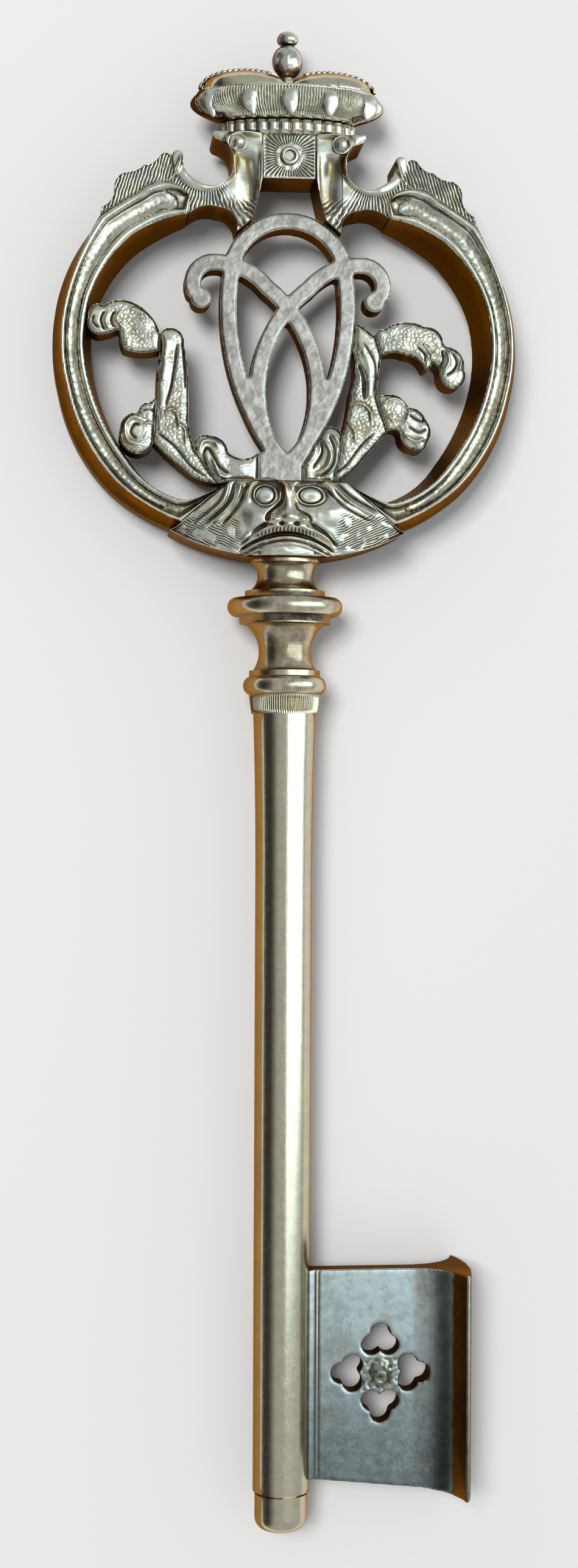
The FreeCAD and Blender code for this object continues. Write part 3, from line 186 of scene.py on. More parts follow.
def metal(name, rubbed, stain, stained=0.3, tarnish=0.0, streaks=0.0, roughness=0.28,
          beaten=0.0, side=ORANGE, grime_and_shade=0.9, tip_darkening=0.0):
    """Worn gilt metal: pale where rubbed, gold, then near black in the hollows, brown on the walls.

    The near black of the hollows is soot and painted shade. The stain lies on it in blots, and
    the last argument says how much more of the stain colour lies in flecks towards the tip.
    Tarnish ages the whole face, streaks age it in lines along the key, and beaten is how uneven
    it is. The walls have the colour of the side under umber, as much as the argument before the
    last says: grime in spots, and painted shade that grows towards the table.
    """
    made = Material(name)
    hollow, wall = made.attribute("hollow"), made.attribute("wall")
    cloud = made.grain(3.2 * MM, detail=6.0)
    blot = made.grain(1.1 * MM, detail=8.0)
    fleck = made.grain(0.9 * MM, detail=5.0)
    speck = made.grain(0.3 * MM)
    line = made.grain(0.16 * MM, stretch=(1, 30, 1), detail=3.0)
    scratch = made.grain(0.09 * MM, stretch=(1, 16, 1), detail=2.0, turn=0.6)

    # The face, by its age and its stains. The hollow value adds to the age, so sunk places turn
    # gold, then near black: patina and dirt there, and painted shade too.
    age_and_shade = hollow + tarnish + 0.6 * (cloud - 0.5) + 0.4 * (speck - 0.5) + streaks * (line - 0.5)
    colour = made.mix(made.step(age_and_shade, GOLD_AGE, SOOT_AND_SHADE_AGE), rubbed, OLD_GOLD)
    colour = made.mix(made.step(age_and_shade, SOOT_AND_SHADE_AGE, ALL_SOOT_AND_SHADE_AGE), colour, SOOT_AND_SHADE)
    colour = made.mix(stained * made.step(blot + 0.6 * (cloud - 0.5), 0.4, 0.62), colour, stain)
    # Towards the tip the face gets darker in flecks of the stain colour.
    foot = 1.0 - made.step(made.along("Y"), FOOT_DARKEST_BELOW, FOOT_UNDARKENED_ABOVE)
    colour = made.mix(tip_darkening * foot * (fleck + speck), colour, stain)

    # The walls: tarnish, grime in spots, and painted shade that darkens them towards the table.
    shaded = 1.0 - made.step(made.along("Z"), SHADED_BELOW, LIT_ABOVE)
    wall_tarnish_and_shade = made.mix(grime_and_shade * made.step(shaded + cloud + 0.5 * speck, 0.5, 1.4), side, UMBER)
    walled = made.step(wall + 0.4 * grime_and_shade * (fleck - 0.5), 0.3, 0.7)
    made.feed(made.shader.inputs["Base Color"], made.mix(walled, colour, wall_tarnish_and_shade))
    made.feed(made.shader.inputs["Specular Tint"], EDGE_GOLD)

    # The shine: duller where it is old, rusty or scratched, and less like metal under soot.
    worn = made.step(scratch, 0.62, 0.7)
    dull = 0.2 * made.step(age_and_shade, 0.2, 0.9) + 0.14 * grime_and_shade * walled + 0.14 * (speck - 0.5)
    made.feed(made.shader.inputs["Roughness"], dull + 0.06 * worn + roughness)
    made.feed(made.shader.inputs["Metallic"], 1.0 - 0.3 * made.step(age_and_shade, 0.6, 1.1))

    # The unevenness: streaks, scratches, dents and scale.
    height = 0.35 * streaks * line + 0.12 * worn + beaten * made.grain(0.45 * MM, detail=2.0)
    height = height + 0.5 * grime_and_shade * walled * fleck
    bump = made.node(
        "ShaderNodeBump", {"Height": height, "Strength": 0.5, "Distance": 0.04 * MM}
    )
    made.feed(made.shader.inputs["Normal"], bump)
    return made.data


turned_metal = metal("turned_gilt", SILVER_GOLD, SLATE, stained=0.15, tarnish=0.05,
                     streaks=1.0, roughness=0.19, side=BRONZE, grime_and_shade=0.3)
collar_metal = metal("collar_gilt", SILVER_GOLD, MAUVE, stained=0.55, tarnish=0.1, streaks=0.2,
                     roughness=0.25, beaten=0.15, side=BRONZE, grime_and_shade=0.3)
cast_metal = metal("cast_gilt", SILVER, SLATE, stained=0.35, roughness=0.29, beaten=0.3)
leaf_metal = metal("leaf_gilt", SILVER, SLATE, stained=0.3, tarnish=0.06, roughness=0.35,
                   beaten=0.2)
orb_metal = metal("orb_gilt", SILVER, SLATE, stained=0.4, roughness=0.28, beaten=0.3,
                  side=MAUVE, grime_and_shade=0.3)
strap_metal = metal("strap_gilt", ASH, MAUVE, stained=0.5, roughness=0.40, beaten=0.6)
plate_metal = metal("plate_gilt", STEEL, DARK_SLATE, stained=0.3, streaks=0.4, roughness=0.31,
                    beaten=0.4, tip_darkening=0.75)


def place_piece(name, mesh, material, slot, *nodes):
    """A finished piece: it takes its metal, rides with the key and stands for its nodes."""
    piece = bpy.data.objects.new(name, mesh)
    scene.collection.objects.link(piece)
    mesh.materials.clear()
    mesh.materials.append(material)
    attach(piece, "root")
    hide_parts(*nodes)
    return piece


def read_points(mesh):
    points = np.zeros(len(mesh.vertices) * 3)
    mesh.vertices.foreach_get("co", points)
    return points.reshape(-1, 3)


def read_normals(mesh):
    normals = np.zeros(len(mesh.vertices) * 3)
    mesh.vertices.foreach_get("normal", normals)
    return normals.reshape(-1, 3)


def write_points(mesh, points):
    mesh.vertices.foreach_set("co", points.ravel())
    mesh.update()


def soft_step(values, low, high):
    """0 below the low value, 1 above the high one, and smooth between."""
    share = np.clip((values - low) / (high - low), 0, 1)
    return share * share * (3 - 2 * share)


def averaged(mesh, values, rounds):
    """Values at the vertices, each averaged with its neighbours, round after round."""
    ends = np.zeros(len(mesh.edges) * 2, int)
    mesh.edges.foreach_get("vertices", ends)
    first, second = ends.reshape(-1, 2).T
    count = np.bincount(ends, minlength=len(mesh.vertices))[:, None]
    for _ in range(rounds):
        total = np.zeros_like(values)
        for column in range(values.shape[1]):
            total[:, column] = np.bincount(first, values[second, column], len(values))
            total[:, column] += np.bincount(second, values[first, column], len(values))
        values = (values + total / np.maximum(count, 1)) / 2
    return values


# Rounds of averaging for wide hollows, and for the way that a wall faces.
BROAD_ROUNDS, FACING_ROUNDS = 160, 16


def age_and_shade_surface(mesh, rounds=14, hollow_depth=0.03 * MM, upright=False, broad_depth=None):
    """Writes how sunk each point is (hollow) and how far it turns from the front (wall).

    A point that lies a hollow_depth below the average of the points around it has a hollow
    of 0.5. The broad_depth adds the same for wide hollows. On an upright piece, a turn
    towards the crown or the tip doesn't make a wall.
    """
    points, normals = read_points(mesh), read_normals(mesh)
    sunk = 0
    for averaging, depth in ((rounds, hollow_depth), (BROAD_ROUNDS, broad_depth)):
        if depth:
            above = averaged(mesh, points, averaging) - points
            sunk = sunk + np.sum(above * normals, axis=1) / depth
    # The hollow value darkens sunk places in the metal: patina, and painted shade.
    hollow = mesh.attributes.new("hollow", "FLOAT", "POINT")
    hollow.data.foreach_set("value", 0.5 * np.clip(sunk, -0.8, 3.0))
    facing = averaged(mesh, normals, FACING_ROUNDS)
    if upright:
        facing[:, 1] = 0
    facing /= np.maximum(np.linalg.norm(facing, axis=1, keepdims=True), 0.01)
    # Walls that face left count as turned further, so they take more of the brown wall colour: this
    # is painted shade on the left sides.
    turned_away = 1 - facing[:, 2] - 0.15 * facing[:, 0]
    wall = mesh.attributes.new("wall", "FLOAT", "POINT")
    wall.data.foreach_set("value", soft_step(turned_away, 0.35, 0.65))


# Tip, shank and collar: brass turned in the lathe. Each is the section of its solid, spun
# again with more sides.
SHANK_LOW, SHANK_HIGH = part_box("shank")
AXIS_HEIGHT = (SHANK_LOW.z + SHANK_HIGH.z) / 2
WELD = 0.0005 * MM  # points nearer than this are one point


def turned_mesh(node, sides=128, longest=0.4 * MM):
    """The node cut through its axis, and the upper half of that line spun round.

    The line is divided where a part of it would be longer than the longest.
    """
    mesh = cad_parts[node].data.copy()
    work = bmesh.new()
    work.from_mesh(mesh)
    bmesh.ops.remove_doubles(work, verts=work.verts, dist=WELD)
    found = bmesh.ops.bisect_plane(
        work, geom=work.verts[:] + work.edges[:] + work.faces[:],
        dist=WELD, plane_co=(0, 0, 0), plane_no=(1, 0, 0),
    )
    cut = [item for item in found["geom_cut"] if isinstance(item, bmesh.types.BMEdge)]
    keep = {
        edge for edge in cut
        if all(vert.co.z > AXIS_HEIGHT - 2 * WELD for vert in edge.verts)
    }
    others = [edge for edge in work.edges if edge not in keep]
    bmesh.ops.delete(work, geom=others, context="EDGES_FACES")
    bmesh.ops.delete(work, geom=[v for v in work.verts if not v.link_edges], context="VERTS")
    for edge in list(work.edges):
        parts_needed = int(edge.calc_length() / longest)
        if parts_needed > 1:
            bmesh.ops.subdivide_edges(work, edges=[edge], cuts=parts_needed - 1)
    for vert in work.verts:
        vert.co.x = 0
        if abs(vert.co.z - AXIS_HEIGHT) < 4 * WELD:
            vert.co.z = AXIS_HEIGHT
    bmesh.ops.spin(
        work, geom=work.verts[:] + work.edges[:], cent=(0, 0, AXIS_HEIGHT), axis=(0, 1, 0),
        angle=2 * math.pi, steps=sides, use_merge=True,
    )
    bmesh.ops.remove_doubles(work, verts=work.verts, dist=2 * WELD)
    bmesh.ops.recalc_face_normals(work, faces=work.faces)
    work.to_mesh(mesh)
    work.free()
    mesh.shade_smooth()
    mesh.set_sharp_from_angle(angle=math.radians(38))
    return mesh


for node, material in (
    ("tip_knob", turned_metal), ("shank", turned_metal), ("collar", collar_metal)
):
    mesh = turned_mesh(node)
    age_and_shade_surface(mesh)
    place_piece(f"{node}_turned", mesh, material, "turned_gilt", node)


# Ferrule: a turned ring under the collar, cut with upright strokes all round.
def emboss(mesh, heights):
    """Raises or sinks the skin by the heights, square to itself."""
    points, normals = read_points(mesh), read_normals(mesh)
    write_points(mesh, points + normals * heights[:, None])


def lumps(points, pitch, detail=0):
    """Soft noise between about -1 and 1 whose lumps are a pitch apart."""
    if detail:
        values = [noise.fractal(Vector(point) / pitch, 1.0, 2.0, detail) for point in points]
    else:
        values = [noise.noise(Vector(point) / pitch) for point in points]
    return np.array(values)


def strokes(places, pitch, sharpness=0.7):
    """Furrows a pitch apart: 0 on the ridges and -1 in the furrows."""
    wave = 0.5 + 0.5 * np.cos(2 * math.pi * places / pitch)
    return wave ** sharpness - 1


FERRULE_STROKES = 90
mesh = turned_mesh("ferrule", sides=864, longest=0.15 * MM)
points = read_points(mesh)
low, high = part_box("ferrule")
around = np.arctan2(points[:, 2] - AXIS_HEIGHT, points[:, 0])
radius = np.hypot(points[:, 2] - AXIS_HEIGHT, points[:, 0])
cut = soft_step(points[:, 1] - low.y, 0.1 * MM, 0.3 * MM)
cut *= soft_step(high.y - points[:, 1], 0.1 * MM, 0.3 * MM)
cut *= soft_step(radius, 0.85 * high.x, 0.9 * high.x)
hand_cut = around + 0.012 * lumps(points * (1, 0.3, 1), 0.5 * MM)
furrows = strokes(hand_cut, 2 * math.pi / FERRULE_STROKES, sharpness=0.9)
emboss(mesh, 0.14 * MM * cut * furrows)
age_and_shade_surface(mesh)
place_piece("ferrule_turned", mesh, turned_metal, "turned_gilt", "ferrule")


# Orb and its ball, on top of the crown: turned too, but dented all over by long use.
for node in ("orb", "orb_ball"):
    mesh = turned_mesh(node, sides=160, longest=0.08 * MM)
    points = read_points(mesh)
    emboss(mesh, 0.07 * MM * (lumps(points, 0.9 * MM) - 1) + 0.03 * MM * lumps(points, 0.35 * MM))
    age_and_shade_surface(mesh)
    place_piece(f"{node}_turned", mesh, orb_metal, "turned_gilt", node)


# Bow arms: two cast bars, mirror twins, their sharp edges rubbed soft. From the outside in,
# their front has a round bead, a narrow groove, a wide stippled cove and a thinner bead.
def cast_mesh(node, voxel=0.2 * MM, cuts=2, reach=1.5 * MM, rounds=2):
    """The node's skin as a net of squares of one voxel, its edges softened in some rounds.

    Down to the reach below its highest point, each square of the front gets more cuts.
    """
    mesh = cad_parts[node].data.copy()
    work = bmesh.new()
    work.from_mesh(mesh)
    bmesh.ops.remove_doubles(work, verts=work.verts, dist=WELD)
    work.to_mesh(mesh)
    work.free()
    model = bpy.data.objects.new("model", mesh)
    scene.collection.objects.link(model)
    net = model.modifiers.new("net", "REMESH")
    net.mode = "VOXEL"
    net.voxel_size = voxel
    soften = model.modifiers.new("soften", "SMOOTH")
    soften.factor = 0.5
    soften.iterations = rounds
    shown = model.evaluated_get(bpy.context.evaluated_depsgraph_get())
    skin = bpy.data.meshes.new_from_object(shown)
    bpy.data.objects.remove(model)
    if cuts:
        work = bmesh.new()
        work.from_mesh(skin)
        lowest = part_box(node)[1].z - reach
        edges = {
            edge
            for face in work.faces
            if face.normal.z > 0.3 and face.calc_center_median().z > lowest
            for edge in face.edges
        }
        bmesh.ops.subdivide_edges(work, edges=list(edges), cuts=cuts, use_grid_fill=True)
        work.to_mesh(skin)
        work.free()
    skin.shade_smooth()
    return skin


BOW_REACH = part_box("right_arm")[1].x
BOW_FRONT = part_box("right_arm")[1].z
BOW_CENTRE = np.array([0, 46.7 * MM])


def bow_shares(points):
    """Places over the bow's front, in shares of its reach from its centre."""
    return (points[:, :2] - BOW_CENTRE) / BOW_REACH


def distance_to(points, others):
    """How far each point is from the nearest of the others, seen from the front."""
    tree = kdtree.KDTree(len(others))
    for index, (x, y, _) in enumerate(others):
        tree.insert((x, y, 0), index)
    tree.balance()
    return np.array([tree.find((x, y, 0))[2] for x, y, _ in points])


def below_front(points, normals, top):
    """Which points are on the walls just below a flat front, where they draw its outline."""
    wall = (np.abs(normals[:, 2]) < 0.5) & (points[:, 2] < top - 1.0 * MM)
    return wall & (points[:, 2] > top - 2.2 * MM)


def bulge(values, middle, half_width):
    """1 at the middle value, falling like an arch to 0 at half the width and beyond."""
    return np.clip(1 - ((values - middle) / half_width) ** 2, 0, 1)


def arm_front(points, normals, top):
    """How far the moulded front stands from the flat front of the casting."""
    wall = below_front(points, normals, top)
    outward = np.sum(normals[:, :2] * bow_shares(points), axis=1)
    outer = distance_to(points, points[wall & (outward > 0)])
    inner = distance_to(points, points[wall & (outward <= 0)])
    share = outer / (outer + inner)
    outer_bead = np.sqrt(bulge(share, 0.13, 0.12))
    inner_bead = np.sqrt(bulge(share, 0.86, 0.13))
    cove = bulge(share, 0.52, 0.23)
    stipple = lumps(points, 0.45 * MM) * soft_step(cove, 0.1, 0.5)
    heights = 0.7 * np.maximum(outer_bead, 0.85 * inner_bead) - 0.75 - 0.35 * cove
    return MM * (heights + 0.035 * stipple)


for side in ("left", "right"):
    node = f"{side}_arm"
    mesh = cast_mesh(node, voxel=0.2 * MM, cuts=2)
    points, normals = read_points(mesh), read_normals(mesh)
    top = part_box(node)[1].z
    moulded = top + arm_front(points, normals, top)
    share = soft_step(points[:, 2], top - 1.1 * MM, top - 0.6 * MM)
    share *= soft_step(np.abs(normals[:, 2]), 0.1, 0.4)
    points[:, 2] += share * (moulded - points[:, 2])
    write_points(mesh, points)
    age_and_shade_surface(mesh)
    place_piece(f"{side}_arm_cast", mesh, cast_metal, "cast_gilt", node)


# Shoulders: cast crests that lead from the arms up to the crown, hatched along their
# ragged tops and round their scoops, with a smooth rim along each scoop.
def chase(mesh, heights):
    """Raises or sinks the front by the heights, less and less where it turns to a wall."""
    points, normals = read_points(mesh), read_normals(mesh)
    points[:, 2] += heights * soft_step(normals[:, 2], 0.2, 0.75)
    write_points(mesh, points)


def smooth_curve(corners, steps=24):
    """Many points along a smooth curve through a few corners."""
    corners = np.array([corners[0], *corners, corners[-1]], float)
    curve = []
    for before, start, end, after in zip(corners, corners[1:], corners[2:], corners[3:]):
        for share in np.linspace(0, 1, steps, endpoint=False):
            bend = 2 * before - 5 * start + 4 * end - after
            twist = 3 * start - before - 3 * end + after
            curve.append(start + 0.5 * share * (end - before + share * (bend + share * twist)))
    return np.array([*curve, corners[-1]])


def bow_places(points):
    """Places over the bow's front, in millimetres from its centre."""
    return (points[:, :2] - BOW_CENTRE) / MM


def ridge(values, middle, width):
    """1 at the middle value, falling softly to about a third at one width from it."""
    return np.exp(-(((values - middle) / width) ** 2))


def chased_lines(points, lines):
    """Heights of ridges, and of furrows where below 0, that fade out at their ends.

    Each line has its width, its height and its corners, in the millimetres of bow_places.
    """
    places = bow_places(points)
    heights = np.zeros(len(points))
    for width, height, corners in lines:
        curve = smooth_curve(corners)
        near = np.all((places > curve.min(0) - 1) & (places < curve.max(0) + 1), axis=1)
        gaps = places[near][:, None, :] - curve[None, :, :]
        away = np.hypot(gaps[:, :, 0], gaps[:, :, 1])
        nearest = away.min(axis=1, keepdims=True)
        closeness = np.exp((nearest**2 - away**2) / 0.03)
        along = closeness @ np.linspace(0, 1, len(curve)) / closeness.sum(axis=1)
        fade = soft_step(along, 0, 0.2) * soft_step(1 - along, 0, 0.2)
        heights[near] += height * MM * fade * ridge(nearest[:, 0], 0, width)
    return heights


POST_LINES = [
    (0.30, 0.60, [(2.6, 23.1), (4.2, 23.5), (5.8, 23.3), (6.7, 22.6), (6.7, 21.5), (6.1, 20.6),
                  (6.4, 19.1), (7.7, 18.0)]),
    (0.90, -0.65, [(4.8, 21.6), (4.6, 19.3), (4.3, 16.8), (4.8, 14.5)]),
    (0.30, 0.25, [(2.9, 22.6), (3.0, 19.0), (3.4, 15.5), (4.2, 13.0)]),
    (0.22, 0.30, [(11.6, 21.2), (12.2, 19.2), (13.3, 17.9), (14.6, 17.4)]),
    (0.30, 0.25, [(12.6, 17.6), (14.5, 17.2), (16.6, 16.0), (18.4, 14.0)]),
]
SCOOP_MIDDLE, SCOOP_RIM = (0.361, 0.81), 0.118  # in shares of the bow's reach


for side, mirrored in (("left", -1), ("right", 1)):
    node = f"{side}_shoulder"
    mesh = cast_mesh(node, voxel=0.15 * MM, cuts=2)
    points = read_points(mesh)
    places = bow_shares(points) * (mirrored, 1)
    scoop_x, scoop_y = (places - SCOOP_MIDDLE).T
    from_scoop = np.hypot(scoop_x, scoop_y)
    round_scoop = np.arctan2(scoop_y, scoop_x)
    wobble = lumps(points, 1.7 * MM) + 0.5 * lumps(points, 0.5 * MM)
    across_crest = places[:, 0] + 0.3 * (places[:, 1] - 0.7)
    crest_strokes = strokes(across_crest + 0.005 * wobble, 0.0135)
    scoop_strokes = strokes(round_scoop + 0.035 * wobble, 0.075)
    crest = soft_step(places[:, 0], 0.40, 0.46)
    post = soft_step(-places[:, 0], -0.31, -0.26) * soft_step(places[:, 1], 0.60, 0.66)
    hatched = soft_step(from_scoop, 0.137, 0.15)
    cut = crest * crest_strokes + (1 - crest) * scoop_strokes
    cut *= 1 + 0.5 * lumps(points, 0.6 * MM)
    heights = 0.16 * cut * hatched * (1 - post) - 0.12 * hatched + 0.1 * lumps(points, 1.6 * MM)
    heights += 0.15 * np.sqrt(bulge(from_scoop, SCOOP_RIM, 0.02)) - 0.15
    chase(mesh, MM * heights + chased_lines(points * (mirrored, 1, 1), POST_LINES))
    age_and_shade_surface(mesh, broad_depth=0.15 * MM)
    place_piece(f"{side}_shoulder_cast", mesh, cast_metal, "cast_gilt", node)


# Sprays: cast acanthus, chased on the front. The blades are beaten all over in small
# cells, the tips curl in fluted scrolls, and long furrows run down the stems.
def rounded_edge(node, mesh, radius):
    """How far the front of a node's mesh sinks towards its outline."""
    points = read_points(mesh)
    outline = points[below_front(points, read_normals(mesh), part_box(node)[1].z)]
    share = np.clip(1 - distance_to(points, outline) / radius, 0, 1)
    return -radius * (1 - np.sqrt(1 - share * share))


def beaten_cells(points, pitch):
    """Small domes about a pitch apart: 1 on their tops and 0 in the furrows between."""
    gaps = [noise.voronoi(Vector(point) / pitch)[0] for point in points]
    return np.clip(np.array([second - first for first, second, *_ in gaps]) / 0.45, 0, 1)


SPRAY_LINES = {
    "left_stem": [
        (0.16, -0.32, [(-12.0, 1.0), (-12.3, -1.7), (-12.7, -4.2), (-13.4, -6.5)]),
        (0.45, 0.20, [(-13.1, 1.6), (-13.4, -1.2), (-13.6, -4.0)]),
        (0.14, -0.25, [(-11.5, 1.0), (-11.2, -2.0), (-11.1, -4.5)]),
        (0.14, 0.25, [(-13.3, -7.0), (-12.7, -6.5), (-12.0, -7.2), (-11.8, -8.8)]),
        (0.14, 0.20, [(-11.9, -8.1), (-11.2, -8.7), (-11.1, -10.4)]),
        (0.15, -0.28, [(-14.7, -8.7), (-12.4, -10.4), (-10.5, -12.6), (-8.6, -14.0)]),
    ],
    "left_lower_leaf": [
        (0.20, 0.30, [(-15.7, -10.4), (-17.3, -10.0), (-17.7, -8.4), (-16.8, -7.4), (-15.4, -7.9)]),
        (0.14, -0.30, [(-16.3, -9.9), (-17.0, -9.1), (-16.6, -8.2), (-16.1, -8.3)]),
        (0.14, 0.20, [(-15.7, -8.1), (-14.1, -8.1), (-13.1, -8.8)]),
        (0.12, -0.20, [(-15.9, -6.7), (-14.9, -6.6), (-13.8, -7.0)]),
    ],
    "left_upper_leaf": [
        (0.14, -0.28, [(-19.9, 4.0), (-20.3, 3.0), (-19.9, 1.8)]),
        (0.14, 0.20, [(-19.4, 4.0), (-19.8, 2.9), (-19.4, 1.9)]),
        (0.14, -0.25, [(-18.8, 4.0), (-19.2, 3.0), (-18.8, 2.1)]),
        (0.14, 0.20, [(-18.1, 4.1), (-18.6, 3.0), (-17.8, 2.1)]),
        (0.14, -0.25, [(-21.1, 3.5), (-21.2, 2.8), (-20.5, 2.1)]),
        (0.18, 0.18, [(-17.4, 4.4), (-15.7, 3.8), (-14.1, 2.3)]),
    ],
    "left_foot_scroll": [
        (0.22, 0.25, [(-9.4, -13.1), (-9.7, -11.3), (-9.2, -10.0), (-8.0, -9.9), (-7.4, -10.9)]),
        (0.16, -0.35, [(-8.6, -13.0), (-9.1, -11.5), (-8.6, -10.7), (-7.4, -12.6), (-6.2, -13.5)]),
        (0.20, 0.20, [(-8.2, -11.8), (-7.9, -12.4), (-7.4, -13.5), (-6.3, -14.0)]),
    ],
    "right_stem": [
        (0.20, -0.45, [(7.7, -1.0), (8.3, -2.7), (8.4, -5.2)]),
        (0.40, 0.22, [(7.7, 1.5), (8.8, -1.0), (9.0, -3.8), (8.8, -5.2)]),
        (0.12, -0.20, [(8.0, 1.5), (9.4, -0.7), (9.7, -2.7), (9.4, -4.6)]),
        (0.16, 0.28, [(6.9, -5.8), (8.0, -5.5), (9.0, -6.3), (9.2, -7.8)]),
        (0.16, 0.25, [(6.6, -7.4), (7.3, -8.5), (7.4, -9.9)]),
        (0.14, -0.25, [(9.7, -8.5), (8.0, -10.2), (6.3, -12.4), (4.4, -13.5)]),
    ],
    "right_lower_leaf": [
        (0.16, 0.25, [(9.9, -6.3), (11.1, -5.0), (12.4, -5.0), (13.3, -6.0), (12.9, -7.7)]),
        (0.14, 0.22, [(9.2, -6.9), (10.8, -6.6), (11.8, -7.7)]),
        (0.15, -0.30, [(13.3, -6.6), (14.7, -7.3), (15.2, -6.6)]),
        (0.15, -0.25, [(13.1, -7.8), (14.4, -8.5), (15.3, -8.1)]),
        (0.18, 0.22, [(12.7, -8.8), (14.0, -9.5), (15.1, -9.2)]),
    ],
    "right_upper_leaf": [
        (0.14, -0.32, [(16.9, 0.6), (17.1, -0.6), (16.5, -1.6)]),
        (0.16, 0.20, [(17.4, 0.6), (17.7, -0.7), (17.0, -2.1)]),
        (0.14, -0.28, [(17.9, 0.6), (18.6, -0.7), (18.2, -1.7), (17.2, -2.4)]),
        (0.14, 0.20, [(18.6, 0.5), (19.1, -0.6), (18.8, -1.9)]),
        (0.14, -0.25, [(14.1, 0.9), (15.0, 0.1), (15.1, -1.0)]),
        (0.14, 0.20, [(14.7, 1.3), (15.7, 0.1), (15.7, -0.7)]),
    ],
    "right_foot_scroll": [
        (0.20, 0.28, [(3.1, -9.9), (2.8, -11.3), (1.9, -12.6)]),
        (0.14, -0.35, [(3.6, -9.5), (3.8, -11.0), (2.7, -12.8)]),
        (0.22, 0.28, [(3.8, -9.2), (4.7, -11.0), (4.2, -12.7), (2.8, -13.5)]),
        (0.14, -0.35, [(4.4, -8.8), (5.2, -10.6), (4.8, -12.6), (3.3, -13.7)]),
        (0.20, 0.25, [(4.7, -8.5), (5.7, -10.2), (5.4, -12.1), (3.9, -13.6)]),
    ],
}
# Places over the bow's front and radii, in millimetres, where the blades are left smooth.
SMOOTH_SPOTS = [(-13.5, 0.8, 1.5), (-13.7, -2.2, 1.4), (-13.8, -5.0, 1.2), (-20.6, 3.0, 1.7),
                (-17.2, -9.0, 1.5), (18.6, -1.2, 2.0), (8.2, 1.6, 1.6), (9.2, -1.2, 1.6),
                (9.6, -4.0, 1.3), (14.6, -8.4, 1.8)]


def spray_front(node, mesh):
    """The chased front of one casting of a spray."""
    points = read_points(mesh)
    places = bow_places(points)
    cells = np.full(len(points), 0.3 if "scroll" in node else 1.0)
    for x, y, radius in SMOOTH_SPOTS:
        away = np.hypot(places[:, 0] - x, places[:, 1] - y)
        cells *= soft_step(away, 0.6 * radius, radius)
    heights = 0.05 * cells * (beaten_cells(points, 0.45 * MM) - 1) - 0.05
    heights += 0.16 * lumps(points, 1.4 * MM) + 0.012 * lumps(points, 0.3 * MM)
    heights = MM * heights + rounded_edge(node, mesh, 0.75 * MM)
    return heights + chased_lines(points, SPRAY_LINES[node])


for node in SPRAY_LINES:
    mesh = cast_mesh(node, voxel=0.16 * MM, cuts=2, reach=1.0 * MM)
    chase(mesh, spray_front(node, mesh))
    age_and_shade_surface(mesh, hollow_depth=0.04 * MM, broad_depth=0.12 * MM)
    place_piece(f"{node}_cast", mesh, leaf_metal, "cast_gilt", node)


# Strapwork: flat bands sawn from one plate, with filed edges and a mottled face.
mesh = cast_mesh("strapwork_knot", voxel=0.15 * MM, cuts=1, reach=1.0 * MM, rounds=5)
mottle = lumps(read_points(mesh), 0.9 * MM, detail=3)
chase(mesh, rounded_edge("strapwork_knot", mesh, 0.3 * MM) + 0.03 * MM * mottle)
age_and_shade_surface(mesh)
place_piece("strapwork", mesh, strap_metal, "cast_gilt", "strapwork_knot")


# Mask: a grotesque face cast in one with its block. The brows, big nose, downturned mouth
# and pleated cheeks are chased, and fur is scratched on its lower corners.
FACE_LINES = [
    (0.32, 0.55, [(-4.7, -16.9), (-4.0, -14.8), (-2.0, -13.9), (-0.6, -14.8), (-0.5, -16.4)]),
    (0.32, 0.45, [(0.5, -16.2), (0.5, -14.8), (2.2, -13.9), (4.2, -14.7), (5.2, -16.6)]),
    (0.16, -0.45, [(-0.8, -15.2), (-0.9, -16.6), (-2.3, -18.0), (-2.4, -18.9)]),
    (0.14, -0.30, [(0.7, -16.4), (0.9, -17.4), (2.2, -18.2), (2.3, -19.0)]),
    (0.20, -0.40, [(-2.3, -18.9), (-3.6, -19.8), (-5.4, -21.4)]),
    (0.20, -0.40, [(2.2, -18.8), (3.9, -19.9), (5.4, -21.4)]),
    (0.22, 0.35, [(-6.5, -14.3), (-7.3, -16.8), (-10.2, -19.2)]),
    (0.16, -0.40, [(-5.8, -14.2), (-6.6, -16.8), (-9.2, -19.2)]),
    (0.22, 0.35, [(-5.1, -14.3), (-6.0, -16.9), (-8.3, -19.4)]),
    (0.16, -0.30, [(-4.5, -14.6), (-5.4, -17.0), (-7.4, -19.4)]),
    (0.18, 0.30, [(4.4, -14.3), (6.5, -16.4), (9.9, -18.1)]),
    (0.16, -0.35, [(5.0, -14.2), (7.0, -16.0), (10.2, -17.6)]),
    (0.16, -0.25, [(3.9, -15.0), (6.1, -17.1), (9.4, -18.7)]),
]


# Swellings of the face and, where the height is below 0, hollows. Each has its place, its
# half size and its height, in the millimetres of bow_places.
FACE_SWELLINGS = [
    (-0.15, -16.6, 0.8, 2.3, 0.75),  # the bridge of the nose, and its tip
    (-0.1, -18.4, 1.2, 0.75, 0.8),
    (-1.65, -18.65, 0.62, 0.5, 0.75),  # its wings
    (1.5, -18.65, 0.62, 0.5, 0.75),
    (-0.85, -19.05, 0.26, 0.2, -0.55),  # the nostrils
    (0.75, -19.05, 0.26, 0.2, -0.55),
    (-5.4, -17.9, 1.9, 1.5, -0.5),  # a sunken spot in one cheek, and the two round cheeks
    (-3.7, -18.2, 1.2, 1.2, 0.35),
    (4.8, -17.7, 2.3, 1.3, 0.4),
]
EYES = [(-2.6, 1.0, 0.92), (2.35, 1.22, 0.84)]  # place across the face, and half size
EYE_Y = -15.9
MOUTH_X, MOUTH_Y = -0.2, -19.45  # the middle of its line, which droops to both sides
CHIN = (-0.2, -22.2, 3.0, 2.0)  # place and half size


